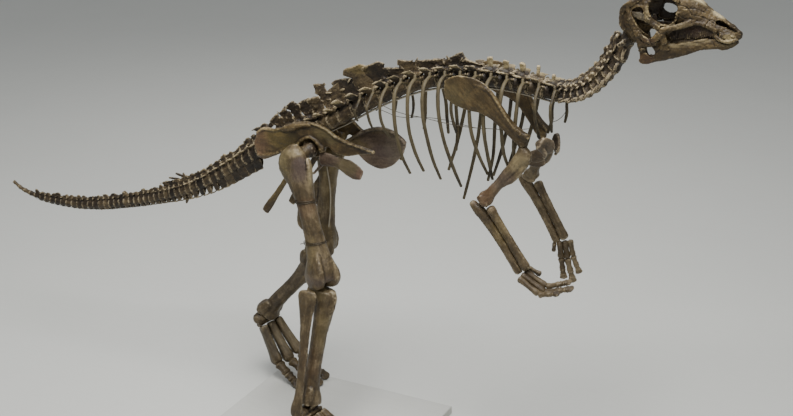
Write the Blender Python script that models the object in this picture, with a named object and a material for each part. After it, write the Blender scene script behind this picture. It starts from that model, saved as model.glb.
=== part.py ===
"""Mounted skeleton of a young lambeosaurine duck-billed dinosaur, walking on its hind legs.

Metres, +Z up, +X towards the head, +Y towards the animal's left.  The skeleton is worked
out with z = 0 on top of the base and x = 0 at the hip sockets; one empty then carries the
whole model to its final frame, whose origin is under the middle of its bounding box.
"""
import math

import bpy
from mathutils import Matrix, Vector

# ---- driving dimensions -------------------------------------------------------------
BASE_THICKNESS = 0.030
BASE_MARGIN = 0.07          # base beyond the feet, all round
BASE_BEVEL = 0.004
FIT_GAP = 0.0003            # between pieces that touch
HALF_GAP = FIT_GAP / 2

HIP_HEIGHT = 1.045          # hip socket above the base
HIP_HALF_WIDTH = 0.082      # hip socket from the middle plane
SOCKET_RADIUS = 0.031

RIGHT = -1
LEFT = 1

# line of the vertebral centres, tail tip to skull, in the middle plane (x, z)
SPINE_LINE = (
    (-1.447, 0.666), (-1.400, 0.638), (-1.300, 0.621), (-1.150, 0.622), (-1.000, 0.644),
    (-0.850, 0.683), (-0.720, 0.724), (-0.600, 0.768), (-0.500, 0.818), (-0.400, 0.882),
    (-0.300, 0.950), (-0.200, 1.012), (-0.100, 1.062), (0.000, 1.110), (0.100, 1.165),
    (0.200, 1.227), (0.300, 1.279), (0.400, 1.320), (0.500, 1.345), (0.600, 1.357),
    (0.700, 1.359), (0.800, 1.350), (0.880, 1.340), (0.935, 1.346), (0.987, 1.376),
    (1.034, 1.426), (1.068, 1.476), (1.092, 1.540),
)
TAIL_START_X = -0.165
SACRUM_START_X = 0.085
TRUNK_START_X = 0.880
TAIL_SPLITS_X = (-0.560, -0.980)
NECK_SPLIT_X = 0.995

TRUNK_COUNT = 15
NECK_COUNTS = (5, 5)
TAIL_COUNTS = (12, 12, 9)
SACRUM_COUNT = 6

CENTRUM_RADII = (           # (x, radius) of the vertebral bodies
    (-1.447, 0.0045), (-1.340, 0.0095), (-1.200, 0.0140), (-1.000, 0.0165), (-0.750, 0.0180),
    (-0.500, 0.0195), (-0.200, 0.0255), (0.100, 0.0260), (0.500, 0.0235), (0.880, 0.0225),
    (1.100, 0.0220),
)
WAIST = 0.80                # vertebral body at its middle against its ends

# ribs from the front of the trunk: (reach to the side, drop, lean of the tip forwards)
RIGHT_RIBS = (
    (0.060, 0.120, 0.000), (0.075, 0.150, 0.015), (0.088, 0.275, -0.009),
    (0.098, 0.275, 0.028), (0.106, 0.318, 0.027), (0.112, 0.300, 0.065),
    (0.112, 0.172, 0.005), (0.116, 0.345, 0.080), (0.118, 0.320, 0.060),
    (0.115, 0.288, 0.050), (0.108, 0.286, 0.052), (0.098, 0.150, 0.025),
    (0.085, 0.105, 0.010), (0.070, 0.060, 0.000),
)
LEFT_RIBS = (
    (0.060, 0.120, 0.000), (0.075, 0.175, -0.010), (0.088, 0.316, -0.063),
    (0.098, 0.330, -0.045), (0.106, 0.375, -0.047), (0.112, 0.397, -0.015),
    (0.116, 0.475, -0.052), (0.118, 0.372, -0.058), (0.118, 0.286, 0.023),
    (0.115, 0.213, 0.048), (0.108, 0.190, 0.010), (0.098, 0.130, 0.020),
    (0.085, 0.100, 0.010), (0.070, 0.060, 0.000),
)
RIB_HALF_WIDTH = 0.0060
RIB_HALF_THICKNESS = 0.0038

# ---- skull, in its own frame: origin at the jaw joint, x to the snout, z up ----------
SKULL_JOINT = (1.146, 0.0, 1.534)
SKULL_PITCH = math.radians(12)
SKULL_SECTIONS = (          # (x, bottom, top, half width at bottom, middle, top)
    (-0.052, 0.048, 0.104, 0.018, 0.030, 0.020), (-0.036, 0.030, 0.132, 0.034, 0.050, 0.028),
    (-0.008, 0.004, 0.154, 0.050, 0.060, 0.038), (0.020, 0.010, 0.166, 0.050, 0.064, 0.042),
    (0.055, 0.026, 0.172, 0.042, 0.066, 0.042), (0.098, 0.032, 0.168, 0.037, 0.062, 0.040),
    (0.140, 0.034, 0.154, 0.034, 0.051, 0.032), (0.180, 0.033, 0.131, 0.032, 0.041, 0.022),
    (0.218, 0.024, 0.088, 0.030, 0.032, 0.012), (0.255, 0.012, 0.055, 0.032, 0.030, 0.010),
    (0.282, 0.003, 0.030, 0.035, 0.031, 0.012), (0.301, -0.004, 0.012, 0.022, 0.021, 0.010),
)
ORBIT = ((0.095, 0.103), 0.043, 0.049, 12)             # centre, half length, half height, sides
UPPER_TEMPORAL = ((0.012, 0.106), 0.017, 0.024, 8)
LOWER_TEMPORAL = ((0.036, 0.052), 0.015, 0.012, 6)
JAW_STATIONS = (            # (x, distance from middle, bottom, top, half thickness)
    (-0.006, 0.048, -0.050, -0.012, 0.005), (0.012, 0.047, -0.052, -0.002, 0.008),
    (0.055, 0.041, -0.048, 0.006, 0.009), (0.110, 0.034, -0.041, 0.006, 0.008),
    (0.165, 0.028, -0.035, 0.006, 0.008), (0.220, 0.027, -0.033, 0.006, 0.007),
    (0.250, 0.028, -0.032, -0.006, 0.006), (0.272, 0.018, -0.029, -0.011, 0.006),
)
JAW_TIP = (0.284, 0.0, -0.024, -0.012, 0.006)

# ---- limbs: joints as (x, distance from the middle plane, z) --------------------------
RIGHT_KNEE = (0.098, 0.165, 0.583)
RIGHT_ANKLE = (0.060, 0.246, 0.116)
RIGHT_TOE_JOINT = (0.206, 0.258, 0.034)
LEFT_KNEE = (-0.078, 0.120, 0.568)
LEFT_ANKLE = (-0.364, 0.152, 0.236)
LEFT_TOE_JOINT = (-0.246, 0.140, 0.076)
LEFT_FOOT_TWIST = Vector((0.50, 0.0, 0.40))    # leans the row of metatarsals over its inner side
RIGHT_SHOULDER = (0.826, 0.112, 1.176)
RIGHT_ELBOW = (0.673, 0.124, 0.978)
RIGHT_WRIST = (0.824, 0.120, 0.764)
RIGHT_FINGER_JOINT = (0.905, 0.120, 0.716)
LEFT_SHOULDER = (0.806, 0.098, 1.136)
LEFT_ELBOW = (0.710, 0.206, 0.968)
LEFT_WRIST = (0.839, 0.190, 0.764)
LEFT_FINGER_JOINT = (0.853, 0.190, 0.700)
ANKLE_RADIUS = 0.025
SOLE_HEIGHT = 0.0006        # toes above the base


# ---- small tools ----------------------------------------------------------------------
def clear_scene():
    for thing in list(bpy.data.objects):
        bpy.data.objects.remove(thing, do_unlink=True)


def make_material(name, colour, roughness, metallic=0.0):
    material = bpy.data.materials.new(name)
    material.use_nodes = True
    shader = material.node_tree.nodes["Principled BSDF"]
    shader.inputs["Base Color"].default_value = (*colour, 1.0)
    shader.inputs["Roughness"].default_value = roughness
    shader.inputs["Metallic"].default_value = metallic
    return material


def between(table, x):
    """Value at x of a table of (x, value) in rising order, on straight lines."""
    for (x0, v0), (x1, v1) in zip(table, table[1:]):
        if x <= x1:
            return v0 + (v1 - v0) * max(0.0, (x - x0) / (x1 - x0))
    return table[-1][1]


def spine_at(x):
    """Centre and direction of the vertebral line at x, on a smooth curve through SPINE_LINE."""
    last = len(SPINE_LINE) - 2
    i = 0
    while i < last and x > SPINE_LINE[i + 1][0]:
        i += 1
    near = [SPINE_LINE[min(max(k, 0), last + 1)] for k in (i - 1, i, i + 1, i + 2)]
    (xa, za), (x0, z0), (x1, z1), (xb, zb) = near
    t = (x - x0) / (x1 - x0)
    slope0 = (z1 - za) / (x1 - xa)
    slope1 = (zb - z0) / (xb - x0)
    run = x1 - x0
    rise = z1 - z0
    z = (z0 + run * slope0 * t + (3 * rise - run * (2 * slope0 + slope1)) * t * t
         + (run * (slope0 + slope1) - 2 * rise) * t ** 3)
    slope = (slope0 + 2 * (3 * rise / run - 2 * slope0 - slope1) * t
             + 3 * (slope0 + slope1 - 2 * rise / run) * t * t)
    along = Vector((1.0, 0.0, slope)).normalized()
    return Vector((x, 0.0, z)), along, Vector((-along.z, 0.0, along.x))


class Shell:
    """A closed mesh made of rings: faces run between rings, and bumps sprout from faces."""

    def __init__(self):
        self.points = []
        self.faces = []

    def ring(self, points):
        first = len(self.points)
        self.points.extend(Vector(p) for p in points)
        return list(range(first, len(self.points)))

    def bridge(self, a, b):
        """Four-sided faces from ring a to ring b; returns them in order round the ring."""
        made = []
        for k in range(len(a)):
            n = (k + 1) % len(a)
            made.append([a[k], a[n], b[n], b[k]])
        self.faces.extend(made)
        return made

    def cap(self, ring, flip=False):
        self.faces.append(ring[::-1] if flip else list(ring))

    def sprout(self, face, sections):
        """Replace a four-sided face by a run through four-point sections, closed at its end."""
        self.faces.remove(face)
        last = face
        for section in sections:
            ring = self.ring(section)
            self.bridge(last, ring)
            last = ring
        self.cap(last)

    def build(self, name, material):
        mesh = bpy.data.meshes.new(name)
        mesh.from_pydata([tuple(p) for p in self.points], [], self.faces)
        mesh.update()
        thing = bpy.data.objects.new(name, mesh)
        bpy.context.collection.objects.link(thing)
        mesh.materials.append(material)
        face_outwards(mesh)
        return thing


def face_outwards(mesh):
    """Turn the whole mesh inside out if its volume comes out negative."""
    volume = 0.0
    for face in mesh.polygons:
        corners = [mesh.vertices[i].co for i in face.vertices]
        for b, c in zip(corners[1:], corners[2:]):
            volume += corners[0].dot(b.cross(c))
    if volume < 0:
        mesh.flip_normals()


def oval(centre, side, up, half_side, half_up, count):
    """Points round an oval, turned so that a flat side faces up and down."""
    points = []
    turn = 0.0 if count % 4 else 0.5
    spread = 1.0 / math.cos(math.pi * turn / count)
    for k in range(count):
        angle = 2 * math.pi * (k + turn) / count
        points.append(centre + side * (half_side * spread * math.cos(angle))
                      + up * (half_up * spread * math.sin(angle)))
    return points


def bone(name, stations, across, material, count=8):
    """A bone through stations of (point, half width along across, half thickness)."""
    shell = Shell()
    centres = [Vector(s[0]) for s in stations]
    rings = []
    for i, (point, wide, thick) in enumerate(stations):
        before = centres[max(i - 1, 0)]
        after = centres[min(i + 1, len(centres) - 1)]
        along = (after - before).normalized()
        side = (Vector(across) - along * along.dot(Vector(across))).normalized()
        rings.append(shell.ring(oval(centres[i], side, along.cross(side), wide, thick, count)))
    for a, b in zip(rings, rings[1:]):
        shell.bridge(a, b)
    shell.cap(rings[0], flip=True)
    shell.cap(rings[-1])
    return shell.build(name, material)


def on_side(point, side):
    """A joint on one side of the body, side = RIGHT or LEFT."""
    return Vector((point[0], side * point[1], point[2]))


def mix(a, b, t):
    return a + (b - a) * t


# ---- backbone --------------------------------------------------------------------------
def vertebra_frames(x_from, x_to, count):
    """(centre, along, up, radius) at each joint and each waist, x_from to x_to."""
    frames = []
    for k in range(2 * count + 1):
        x = x_from + (x_to - x_from) * k / (2 * count)
        centre, along, up = spine_at(x)
        radius = between(CENTRUM_RADII, x) * (WAIST if k % 2 else 1.0)
        frames.append((centre, along, up, radius))
    return frames


def spine_block(shell, face, frame, length, height, lean, half_thickness):
    """A flat process standing on a top or bottom face of the column."""
    centre, along, up, radius = frame
    middle = sum((shell.points[i] for i in face), Vector()) / 4
    out = up if (middle - centre).dot(up) > 0 else -up
    base = [shell.points[i] for i in face]
    tip = []
    for corner in base:
        step = along * (0.5 * length if (corner - middle).dot(along) > 0 else -0.5 * length)
        side = Vector((0, half_thickness if corner.y > middle.y else -half_thickness, 0))
        tip.append(middle + step + side + out * height + along * lean)
    shell.sprout(face, (tip,))


def column(name, x_from, x_to, count, material, spine=None, chevron=None, wing=None, lean=0.0):
    """A run of whole vertebrae; spine, chevron and wing are heights as functions of x."""
    shell = Shell()
    trim = HALF_GAP if x_to > x_from else -HALF_GAP
    frames = vertebra_frames(x_from + trim, x_to - trim, count)
    rings = []
    for centre, along, up, radius in frames:
        rings.append(shell.ring(oval(centre, Vector((0, 1, 0)), up, radius, radius, 6)))
    for k in range(2 * count):
        faces = shell.bridge(rings[k], rings[k + 1])
        if k % 2:
            continue
        x = frames[k][0].x
        pitch = (frames[k + 2][0] - frames[k][0]).length if k + 2 < len(frames) else 0.0
        radius = frames[k][3]
        if spine and spine(x) > 0.002:
            rise = spine(x)
            spine_block(shell, faces[1], frames[k], pitch * 0.50, rise, lean * rise, radius * 0.22)
        if chevron and chevron(x) > 0.002:
            drop = chevron(x)
            spine_block(shell, faces[4], frames[k], pitch * 0.40, drop, lean * drop, radius * 0.20)
        if wing and wing(x) > 0.002:
            for face, side in ((faces[0], 1), (faces[2], -1)):
                wing_block(shell, face, frames[k], pitch * 0.45, wing(x), side)
    shell.cap(rings[0], flip=True)
    shell.cap(rings[-1])
    return shell.build(name, material)


def wing_block(shell, face, frame, length, reach, side):
    """A transverse process on one side of a vertebra."""
    centre, along, up, radius = frame
    base = [shell.points[i] for i in face]
    middle = sum(base, Vector()) / 4
    tip = []
    for corner in base:
        step = along * (0.5 * length if (corner - middle).dot(along) > 0 else -0.5 * length)
        lift = up * (0.12 * radius if (corner - middle).dot(up) > 0 else -0.12 * radius)
        tip.append(middle + step + lift + Vector((0, side * reach, 0)) + up * radius * 0.3)
    shell.sprout(face, (tip,))


ARCH = ((0.0, -1.0), (0.80, -0.60), (1.0, 0.15), (0.56, 0.95), (0.50, 2.0), (0.0, 2.0))


def trunk_spine(x):
    """Height of the neural spines above the arches, along the trunk."""
    return between(((0.130, 0.105), (0.190, 0.093), (0.245, 0.082), (0.305, 0.078), (0.360, 0.066),
                    (0.420, 0.055), (0.475, 0.045), (0.600, 0.042), (0.800, 0.046), (0.880, 0.036)), x)


def rib_sections(start, side, rib):
    """Four-point sections of one rib, from its vertebra out, down and in to the tip."""
    reach, drop, lean = rib
    path = (
        (0.45 * reach, 0.012, 0.0), (0.80 * reach, -0.012, 0.0), (0.99 * reach, -0.26 * drop, 0.10 * lean),
        (1.00 * reach, -0.52 * drop, 0.35 * lean), (0.90 * reach, -0.78 * drop, 0.68 * lean),
        (0.70 * reach, -1.00 * drop, lean),
    )
    points = [Vector((start.x + dx, side * dy, start.z + dz)) for dy, dz, dx in path]
    sections = []
    for i, point in enumerate(points):
        before = points[i - 1] if i else start
        after = points[min(i + 1, len(points) - 1)]
        down = (after - before).normalized()
        out = Vector((1, 0, 0)).cross(down).normalized()
        if out.dot(Vector((0, side, 0.5))) < 0:
            out = -out
        taper = 1.0 - 0.35 * i / len(points)
        wide = Vector((RIB_HALF_WIDTH * taper, 0, 0))
        thick = out * RIB_HALF_THICKNESS * taper
        sections.append((point, wide, thick))
    return sections


def rib_cage_side(name, side, material):
    """One half of the trunk's column, cut on the middle plane, with that side's ribs."""
    shell = Shell()
    frames = vertebra_frames(TRUNK_START_X - HALF_GAP, SACRUM_START_X + HALF_GAP, TRUNK_COUNT)
    rings = []
    ribs = RIGHT_RIBS if side == RIGHT else LEFT_RIBS
    for centre, along, up, radius in frames:
        ring = []
        for across, high in ARCH:
            y = max(across * radius, HALF_GAP)
            ring.append(centre + Vector((0, side * y, 0)) + up * (high * radius))
        rings.append(shell.ring(ring))
    for k in range(2 * TRUNK_COUNT):
        faces = shell.bridge(rings[k], rings[k + 1])
        if k % 2:
            continue
        number = k // 2
        grow_half_spine(shell, faces[4], frames[k], side)
        if number < len(ribs):
            grow_rib(shell, faces[3], frames[k], side, ribs[number])
    shell.cap(rings[0], flip=True)
    shell.cap(rings[-1])
    return shell.build(name, material)


def grow_half_spine(shell, face, frame, side):
    """Half of a neural spine, flat on the middle plane."""
    centre, along, up, radius = frame
    height = trunk_spine(centre.x)
    base = [shell.points[i] for i in face]
    middle = sum(base, Vector()) / 4
    tip = []
    for corner in base:
        step = along * (0.011 if (corner - middle).dot(along) > 0 else -0.011)
        inner = abs(corner.y) < 0.4 * abs(2 * middle.y)
        y = side * (HALF_GAP if inner else 0.0042)
        tip.append(Vector((middle.x, y, middle.z)) + step + up * height - along * 0.006)
    shell.sprout(face, (tip,))


def grow_rib(shell, face, frame, side, rib):
    base = [shell.points[i] for i in face]
    middle = sum(base, Vector()) / 4
    along, up = frame[1], frame[2]
    rings = []
    for point, wide, thick in rib_sections(middle, side, rib):
        ring = []
        for corner in base:
            fore = wide if (corner - middle).dot(along) > 0 else -wide
            outer = thick if (corner - middle).dot(up) > 0 else -thick
            ring.append(point + fore + outer)
        rings.append(ring)
    shell.sprout(face, rings)


def tail_spine(x):
    return between(((-1.10, 0.006), (-0.90, 0.010), (-0.70, 0.014), (-0.50, 0.022), (-0.32, 0.036),
                    (-0.20, 0.066)), x)


def tail_chevron(x):
    return between(((-1.10, 0.006), (-0.90, 0.010), (-0.70, 0.018), (-0.50, 0.034), (-0.26, 0.052),
                    (-0.24, 0.0)), x)


def tail_wing(x):
    return between(((-0.66, 0.0), (-0.60, 0.012), (-0.20, 0.040)), x)


def build_backbone(bone_dark):
    column("tail_tip", TAIL_SPLITS_X[1], SPINE_LINE[0][0] + HALF_GAP, TAIL_COUNTS[2], bone_dark)
    column("tail_middle", TAIL_SPLITS_X[0], TAIL_SPLITS_X[1], TAIL_COUNTS[1], bone_dark,
           tail_spine, tail_chevron, tail_wing, -0.5)
    column("tail_base", TAIL_START_X, TAIL_SPLITS_X[0], TAIL_COUNTS[0], bone_dark,
           tail_spine, tail_chevron, tail_wing, -0.4)
    column("sacrum", SACRUM_START_X, TAIL_START_X, SACRUM_COUNT, bone_dark,
           lambda x: 0.108, None, lambda x: 0.028)
    rib_cage_side("rib_cage_right", RIGHT, bone_dark)
    rib_cage_side("rib_cage_left", LEFT, bone_dark)
    column("neck_base", NECK_SPLIT_X, TRUNK_START_X, NECK_COUNTS[0], bone_dark,
           lambda x: 0.012, None, lambda x: 0.020)
    column("neck_top", SPINE_LINE[-1][0], NECK_SPLIT_X, NECK_COUNTS[1], bone_dark,
           lambda x: 0.012, None, lambda x: 0.020)


# ---- skull and jaw ------------------------------------------------------------------------
def skull_frame():
    return Matrix.Translation(Vector(SKULL_JOINT)) @ Matrix.Rotation(-SKULL_PITCH, 4, "Y")


def build_skull(material):
    shell = Shell()
    rings = []
    for x, bottom, top, wide_low, wide_mid, wide_top in SKULL_SECTIONS:
        middle = 0.5 * (bottom + top)
        half = ((wide_low * 0.5, bottom), (wide_low, bottom + 0.15 * (top - bottom)), (wide_mid, middle),
                (0.5 * (wide_mid + wide_top), middle + 0.32 * (top - bottom)), (wide_top * 0.6, top))
        ring = [(x, -y, z) for y, z in half] + [(x, y, z) for y, z in reversed(half)]
        rings.append(shell.ring(ring))
    for a, b in zip(rings, rings[1:]):
        shell.bridge(a, b)
    shell.cap(rings[0], flip=True)
    shell.cap(rings[-1])
    skull = shell.build("skull", material)
    skull.matrix_world = skull_frame()
    for name, (centre, half_x, half_z, sides) in (
            ("orbit", ORBIT), ("upper_temporal", UPPER_TEMPORAL), ("lower_temporal", LOWER_TEMPORAL)):
        cut_through(skull, name, centre, half_x, half_z, sides)
    return skull


def cut_through(skull, name, centre, half_x, half_z, sides):
    """Cut an opening through both sides of the skull."""
    cutter_shell = Shell()
    rings = []
    for y in (-0.12, 0.12):
        middle = Vector((centre[0], y, centre[1]))
        outline = oval(middle, Vector((1, 0, 0)), Vector((0, 0, 1)), half_x, half_z, sides)
        rings.append(cutter_shell.ring(outline))
    cutter_shell.bridge(*rings)
    cutter_shell.cap(rings[0], flip=True)
    cutter_shell.cap(rings[1])
    cutter = cutter_shell.build("cutter_" + name, skull.data.materials[0])
    cutter.matrix_world = skull.matrix_world.copy()
    cutter.hide_render = True
    cutter.display_type = "WIRE"
    cutter.parent = skull
    cutter.matrix_parent_inverse = skull.matrix_world.inverted()
    cut = skull.modifiers.new(name, "BOOLEAN")
    cut.operation = "DIFFERENCE"
    cut.solver = "EXACT"
    cut.object = cutter


def build_jaw(material):
    """The two sides of the lower jaw and its beak, as one horseshoe."""
    shell = Shell()
    stations = [(x, -y, low, high, thick) for x, y, low, high, thick in JAW_STATIONS]
    stations.append(JAW_TIP)
    stations.extend((x, y, low, high, thick) for x, y, low, high, thick in reversed(JAW_STATIONS))
    rings = []
    for i, (x, y, low, high, thick) in enumerate(stations):
        before = stations[max(i - 1, 0)]
        after = stations[min(i + 1, len(stations) - 1)]
        along = Vector((after[0] - before[0], after[1] - before[1], 0)).normalized()
        side = Vector((along.y, -along.x, 0))
        centre = Vector((x, y, 0.5 * (low + high)))
        rings.append(shell.ring(oval(centre, side, Vector((0, 0, 1)), thick, 0.5 * (high - low), 6)))
    for a, b in zip(rings, rings[1:]):
        shell.bridge(a, b)
    shell.cap(rings[0], flip=True)
    shell.cap(rings[-1])
    jaw = shell.build("lower_jaw", material)
    jaw.matrix_world = skull_frame()
    return jaw


# ---- hips --------------------------------------------------------------------------------
def plate(name, outline_low, outline_high, y_line, half_thickness, material):
    """A flat bone between a lower and an upper edge, both lists of (x, z) of one length."""
    shell = Shell()
    rings = []
    for (xl, zl), (xh, zh), y in zip(outline_low, outline_high, y_line):
        low = Vector((xl, y, zl))
        high = Vector((xh, y, zh))
        thick = Vector((0, half_thickness, 0))
        face = ((low, 0.5), (mix(low, high, 0.25), 1.0), (mix(low, high, 0.75), 1.0), (high, 0.5))
        ring = [point + thick * share for point, share in face]
        ring.extend(point - thick * share for point, share in reversed(face))
        rings.append(shell.ring(ring))
    for a, b in zip(rings, rings[1:]):
        shell.bridge(a, b)
    shell.cap(rings[0], flip=True)
    shell.cap(rings[-1])
    return shell.build(name, material)


def build_ilium(name, side, material):
    """Deep blade behind the socket, an arch over it and a drooping bar in front."""
    r = SOCKET_RADIUS + 0.002
    z = HIP_HEIGHT
    low = [(-0.206, 0.985), (-0.185, 0.978), (-0.150, 0.990), (-0.110, 1.020), (-0.070, 1.030),
           (-r - 0.012, z - 0.004), (-r * 0.8, z + r * 0.65), (0.0, z + r), (r * 0.8, z + r * 0.65),
           (r + 0.014, z + 0.002), (0.075, 1.068), (0.107, 1.048), (0.152, 1.048), (0.211, 1.066),
           (0.268, 1.080)]
    high = [(-0.212, 1.010), (-0.205, 1.085), (-0.165, 1.103), (-0.120, 1.108), (-0.075, 1.130),
            (-0.050, 1.138), (-0.025, 1.143), (0.000, 1.146), (0.025, 1.144),
            (0.048, 1.140), (0.080, 1.129), (0.107, 1.115), (0.150, 1.104), (0.211, 1.096),
            (0.268, 1.087)]
    y_line = [side * (0.078 + 0.13 * max(0.0, x - 0.05)) for x, _ in high]
    return plate(name, low, high, y_line, 0.0085, material)


def build_hips(bone_brown, bone_purple):
    for word, side in (("right", RIGHT), ("left", LEFT)):
        build_ilium(word + "_ilium", side, bone_brown)
        start = Vector((-0.034, side * 0.070, 1.022))
        tip = Vector((-0.205 if side == RIGHT else -0.165, side * 0.058, 0.775))
        stations = ((start, 0.020, 0.010), (mix(start, tip, 0.12), 0.016, 0.009),
                    (mix(start, tip, 0.30), 0.011, 0.008), (mix(start, tip, 0.65), 0.011, 0.008),
                    (mix(start, tip, 0.92), 0.015, 0.009), (tip, 0.013, 0.007))
        bone(word + "_ischium", stations, (1, 0, 0), bone_brown, 6)
    stations = ((Vector((0.042, -0.072, 1.016)), 0.026, 0.010), (Vector((0.072, -0.074, 1.018)), 0.024, 0.009),
                (Vector((0.105, -0.077, 1.016)), 0.022, 0.008), (Vector((0.150, -0.081, 1.004)), 0.031, 0.008),
                (Vector((0.188, -0.084, 0.991)), 0.028, 0.008), (Vector((0.206, -0.085, 0.985)), 0.018, 0.006))
    bone("right_pubis", stations, (0, 0, 1), bone_purple, 8)
    low = [(0.046, 1.000), (0.075, 1.012), (0.105, 1.004), (0.150, 0.974), (0.200, 0.962), (0.250, 0.982),
           (0.290, 1.026), (0.302, 1.055)]
    high = [(0.047, 1.034), (0.075, 1.044), (0.105, 1.068), (0.150, 1.098), (0.200, 1.116), (0.250, 1.112),
            (0.288, 1.092), (0.302, 1.078)]
    y_line = [0.072 - 0.06 * (x - 0.036) for x, _ in low]
    plate("left_pubis", low, high, y_line, 0.0075, bone_purple)


# ---- hind legs ------------------------------------------------------------------------------
def build_femur(name, side, knee, material):
    """Ball in the socket, broad trochanter, straight shaft with its rear process, condyles."""
    hip = Vector((0.0, side * HIP_HALF_WIDTH, HIP_HEIGHT))
    top = hip + Vector((-0.030, side * 0.045, -0.012))
    down = (knee - top).normalized()
    length = (knee - top).length
    out = Vector((0, side, 0))
    fore = (Vector((1, 0, 0)) - down * down.x).normalized()
    stations = (
        (hip - out * 0.012, 0.017, 0.017), (hip + out * 0.002, 0.026, 0.026),
        (hip + out * 0.018, 0.024, 0.024),
        (hip + Vector((-0.021, side * 0.035, -0.008)), 0.051, 0.029),
        (top + Vector((-0.008, side * 0.008, -0.022)), 0.064, 0.031),
        (top + down * 0.070 - fore * 0.006, 0.058, 0.030),
        (top + down * 0.125, 0.045, 0.030), (top + down * length * 0.36, 0.034, 0.031),
        (top + down * length * 0.44 - fore * 0.006, 0.039, 0.030),
        (top + down * length * 0.51 - fore * 0.008, 0.045, 0.030),
        (top + down * length * 0.60, 0.036, 0.030), (top + down * length * 0.75, 0.043, 0.034),
        (top + down * (length - 0.048), 0.064, 0.050), (top + down * (length - 0.020), 0.068, 0.056),
        (top + down * (length - 0.004), 0.046, 0.042))
    return bone(name, stations, (1, 0, 0), material, 10)


def build_crus(word, side, thigh, knee, ankle, material):
    """Tibia with its front crest, the thin fibula outside it, and the ankle bones."""
    out = Vector((0, side, 0))
    line = ankle - knee
    down = line.normalized()
    length = line.length
    fore = (Vector((1, 0, 0)) - down * down.x).normalized()
    bend = thigh.angle(down)
    start = knee + down * (0.008 + 0.055 * math.tan(bend / 2)) - out * 0.006
    end = ankle - down * (ANKLE_RADIUS + 0.009)
    stations = (
        (start + fore * 0.004, 0.058, 0.040), (start + down * 0.030 + fore * 0.008, 0.056, 0.034),
        (start + down * 0.085 + fore * 0.010, 0.042, 0.028),
        (start + down * length * 0.34 + fore * 0.004, 0.030, 0.026),
        (start + down * length * 0.58, 0.029, 0.025), (start + down * length * 0.76, 0.032, 0.028),
        (end - down * 0.030, 0.046, 0.036), (end, 0.048, 0.040))
    bone(word + "_tibia", stations, fore, material, 8)
    lateral = start + out * 0.054 - fore * 0.036
    foot = ankle + out * 0.060 - down * 0.004 - fore * 0.010
    stations = ((lateral, 0.032, 0.007), (mix(lateral, foot, 0.10), 0.026, 0.007),
                (mix(lateral, foot, 0.30), 0.018, 0.0065), (mix(lateral, foot, 0.75), 0.0125, 0.006),
                (mix(lateral, foot, 0.93), 0.020, 0.007), (foot, 0.016, 0.006))
    bone(word + "_fibula", stations, fore, material, 6)
    r = ANKLE_RADIUS
    stations = [(ankle + out * reach, r * size, r * size) for reach, size in (
        (-0.050, 0.75), (-0.032, 1.0), (0.0, 0.90), (0.032, 1.0), (0.050, 0.75))]
    bone(word + "_ankle", stations, fore, material, 8)


FOOT_SLIP = 0.010           # heads of the metatarsals in front of the ankle's line
HEAD_SPACING = 0.0325       # metatarsals side by side at the ankle
KNUCKLE_SPACING = 0.048     # and at the toes
TOE_SPREAD = 0.16           # turn of the outer toes away from the middle one
TOES = (("inner", -1, 0.86, 0.78), ("middle", 0, 1.0, 1.0), ("outer", 1, 0.90, 0.84))


def build_foot(word, side, ankle, joint, settle, twist, material):
    """Three metatarsals side by side and three toes with blunt hoof bones on the base."""
    line = joint - ankle
    down = line.normalized()
    forward = Vector((line.x, line.y, 0)).normalized()
    level = Vector((-forward.y, forward.x, 0)) * (1 if side == LEFT else -1)
    across = level + twist
    across = (across - down * across.dot(down)).normalized()
    for place, order, long, toe_long in TOES:
        head = ankle + down * (ANKLE_RADIUS + 0.007) + across * (HEAD_SPACING * order)
        head += forward * FOOT_SLIP
        knuckle = joint + across * (KNUCKLE_SPACING * order) - down * (1 - long) * 0.10
        stations = ((head, 0.0145, 0.025), (mix(head, knuckle, 0.15), 0.0140, 0.023),
                    (mix(head, knuckle, 0.5), 0.0140, 0.0190), (mix(head, knuckle, 0.85), 0.0170, 0.0215),
                    (knuckle - down * 0.003, 0.0175, 0.0185))
        bone(word + "_metatarsal_" + place, stations, across, material, 6)
        heading = (forward + level * TOE_SPREAD * order).normalized()
        build_toe(word + "_toe_" + place, knuckle, heading, level, toe_long, settle, down, material)


def build_toe(name, knuckle, heading, across, toe_long, settle, down, material):
    """Phalanges in a row, sinking to the base over the part `settle` of their length."""
    reach = 0.150 * toe_long
    start = knuckle + down * 0.006 + heading * 0.003
    stations = []
    for t, wide, thick in ((0.0, 0.0175, 0.0175), (0.10, 0.0180, 0.0180), (0.26, 0.0155, 0.0145),
                           (0.42, 0.0175, 0.0160), (0.54, 0.0155, 0.0135), (0.66, 0.0165, 0.0130),
                           (0.82, 0.0190, 0.0105), (1.0, 0.0090, 0.0050)):
        point = start + heading * (reach * t)
        rest = SOLE_HEIGHT + thick * math.cos(math.pi / 6)
        point.z = max(rest, start.z - (start.z - rest) * min(1.0, t / settle))
        stations.append((point, wide, thick))
    bone(name, stations, across, material, 6)


# ---- shoulders and arms ------------------------------------------------------------------------
BLADE = (                   # (distance along the blade, offset, half width, half thickness)
    (0.000, 0.000, 0.028, 0.013), (0.025, -0.006, 0.029, 0.011), (0.070, -0.008, 0.028, 0.009),
    (0.120, -0.006, 0.034, 0.008), (0.165, -0.008, 0.044, 0.007), (0.205, -0.020, 0.055, 0.006),
    (0.240, -0.042, 0.056, 0.006), (0.272, -0.068, 0.048, 0.005), (0.292, -0.090, 0.030, 0.004),
)


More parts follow.
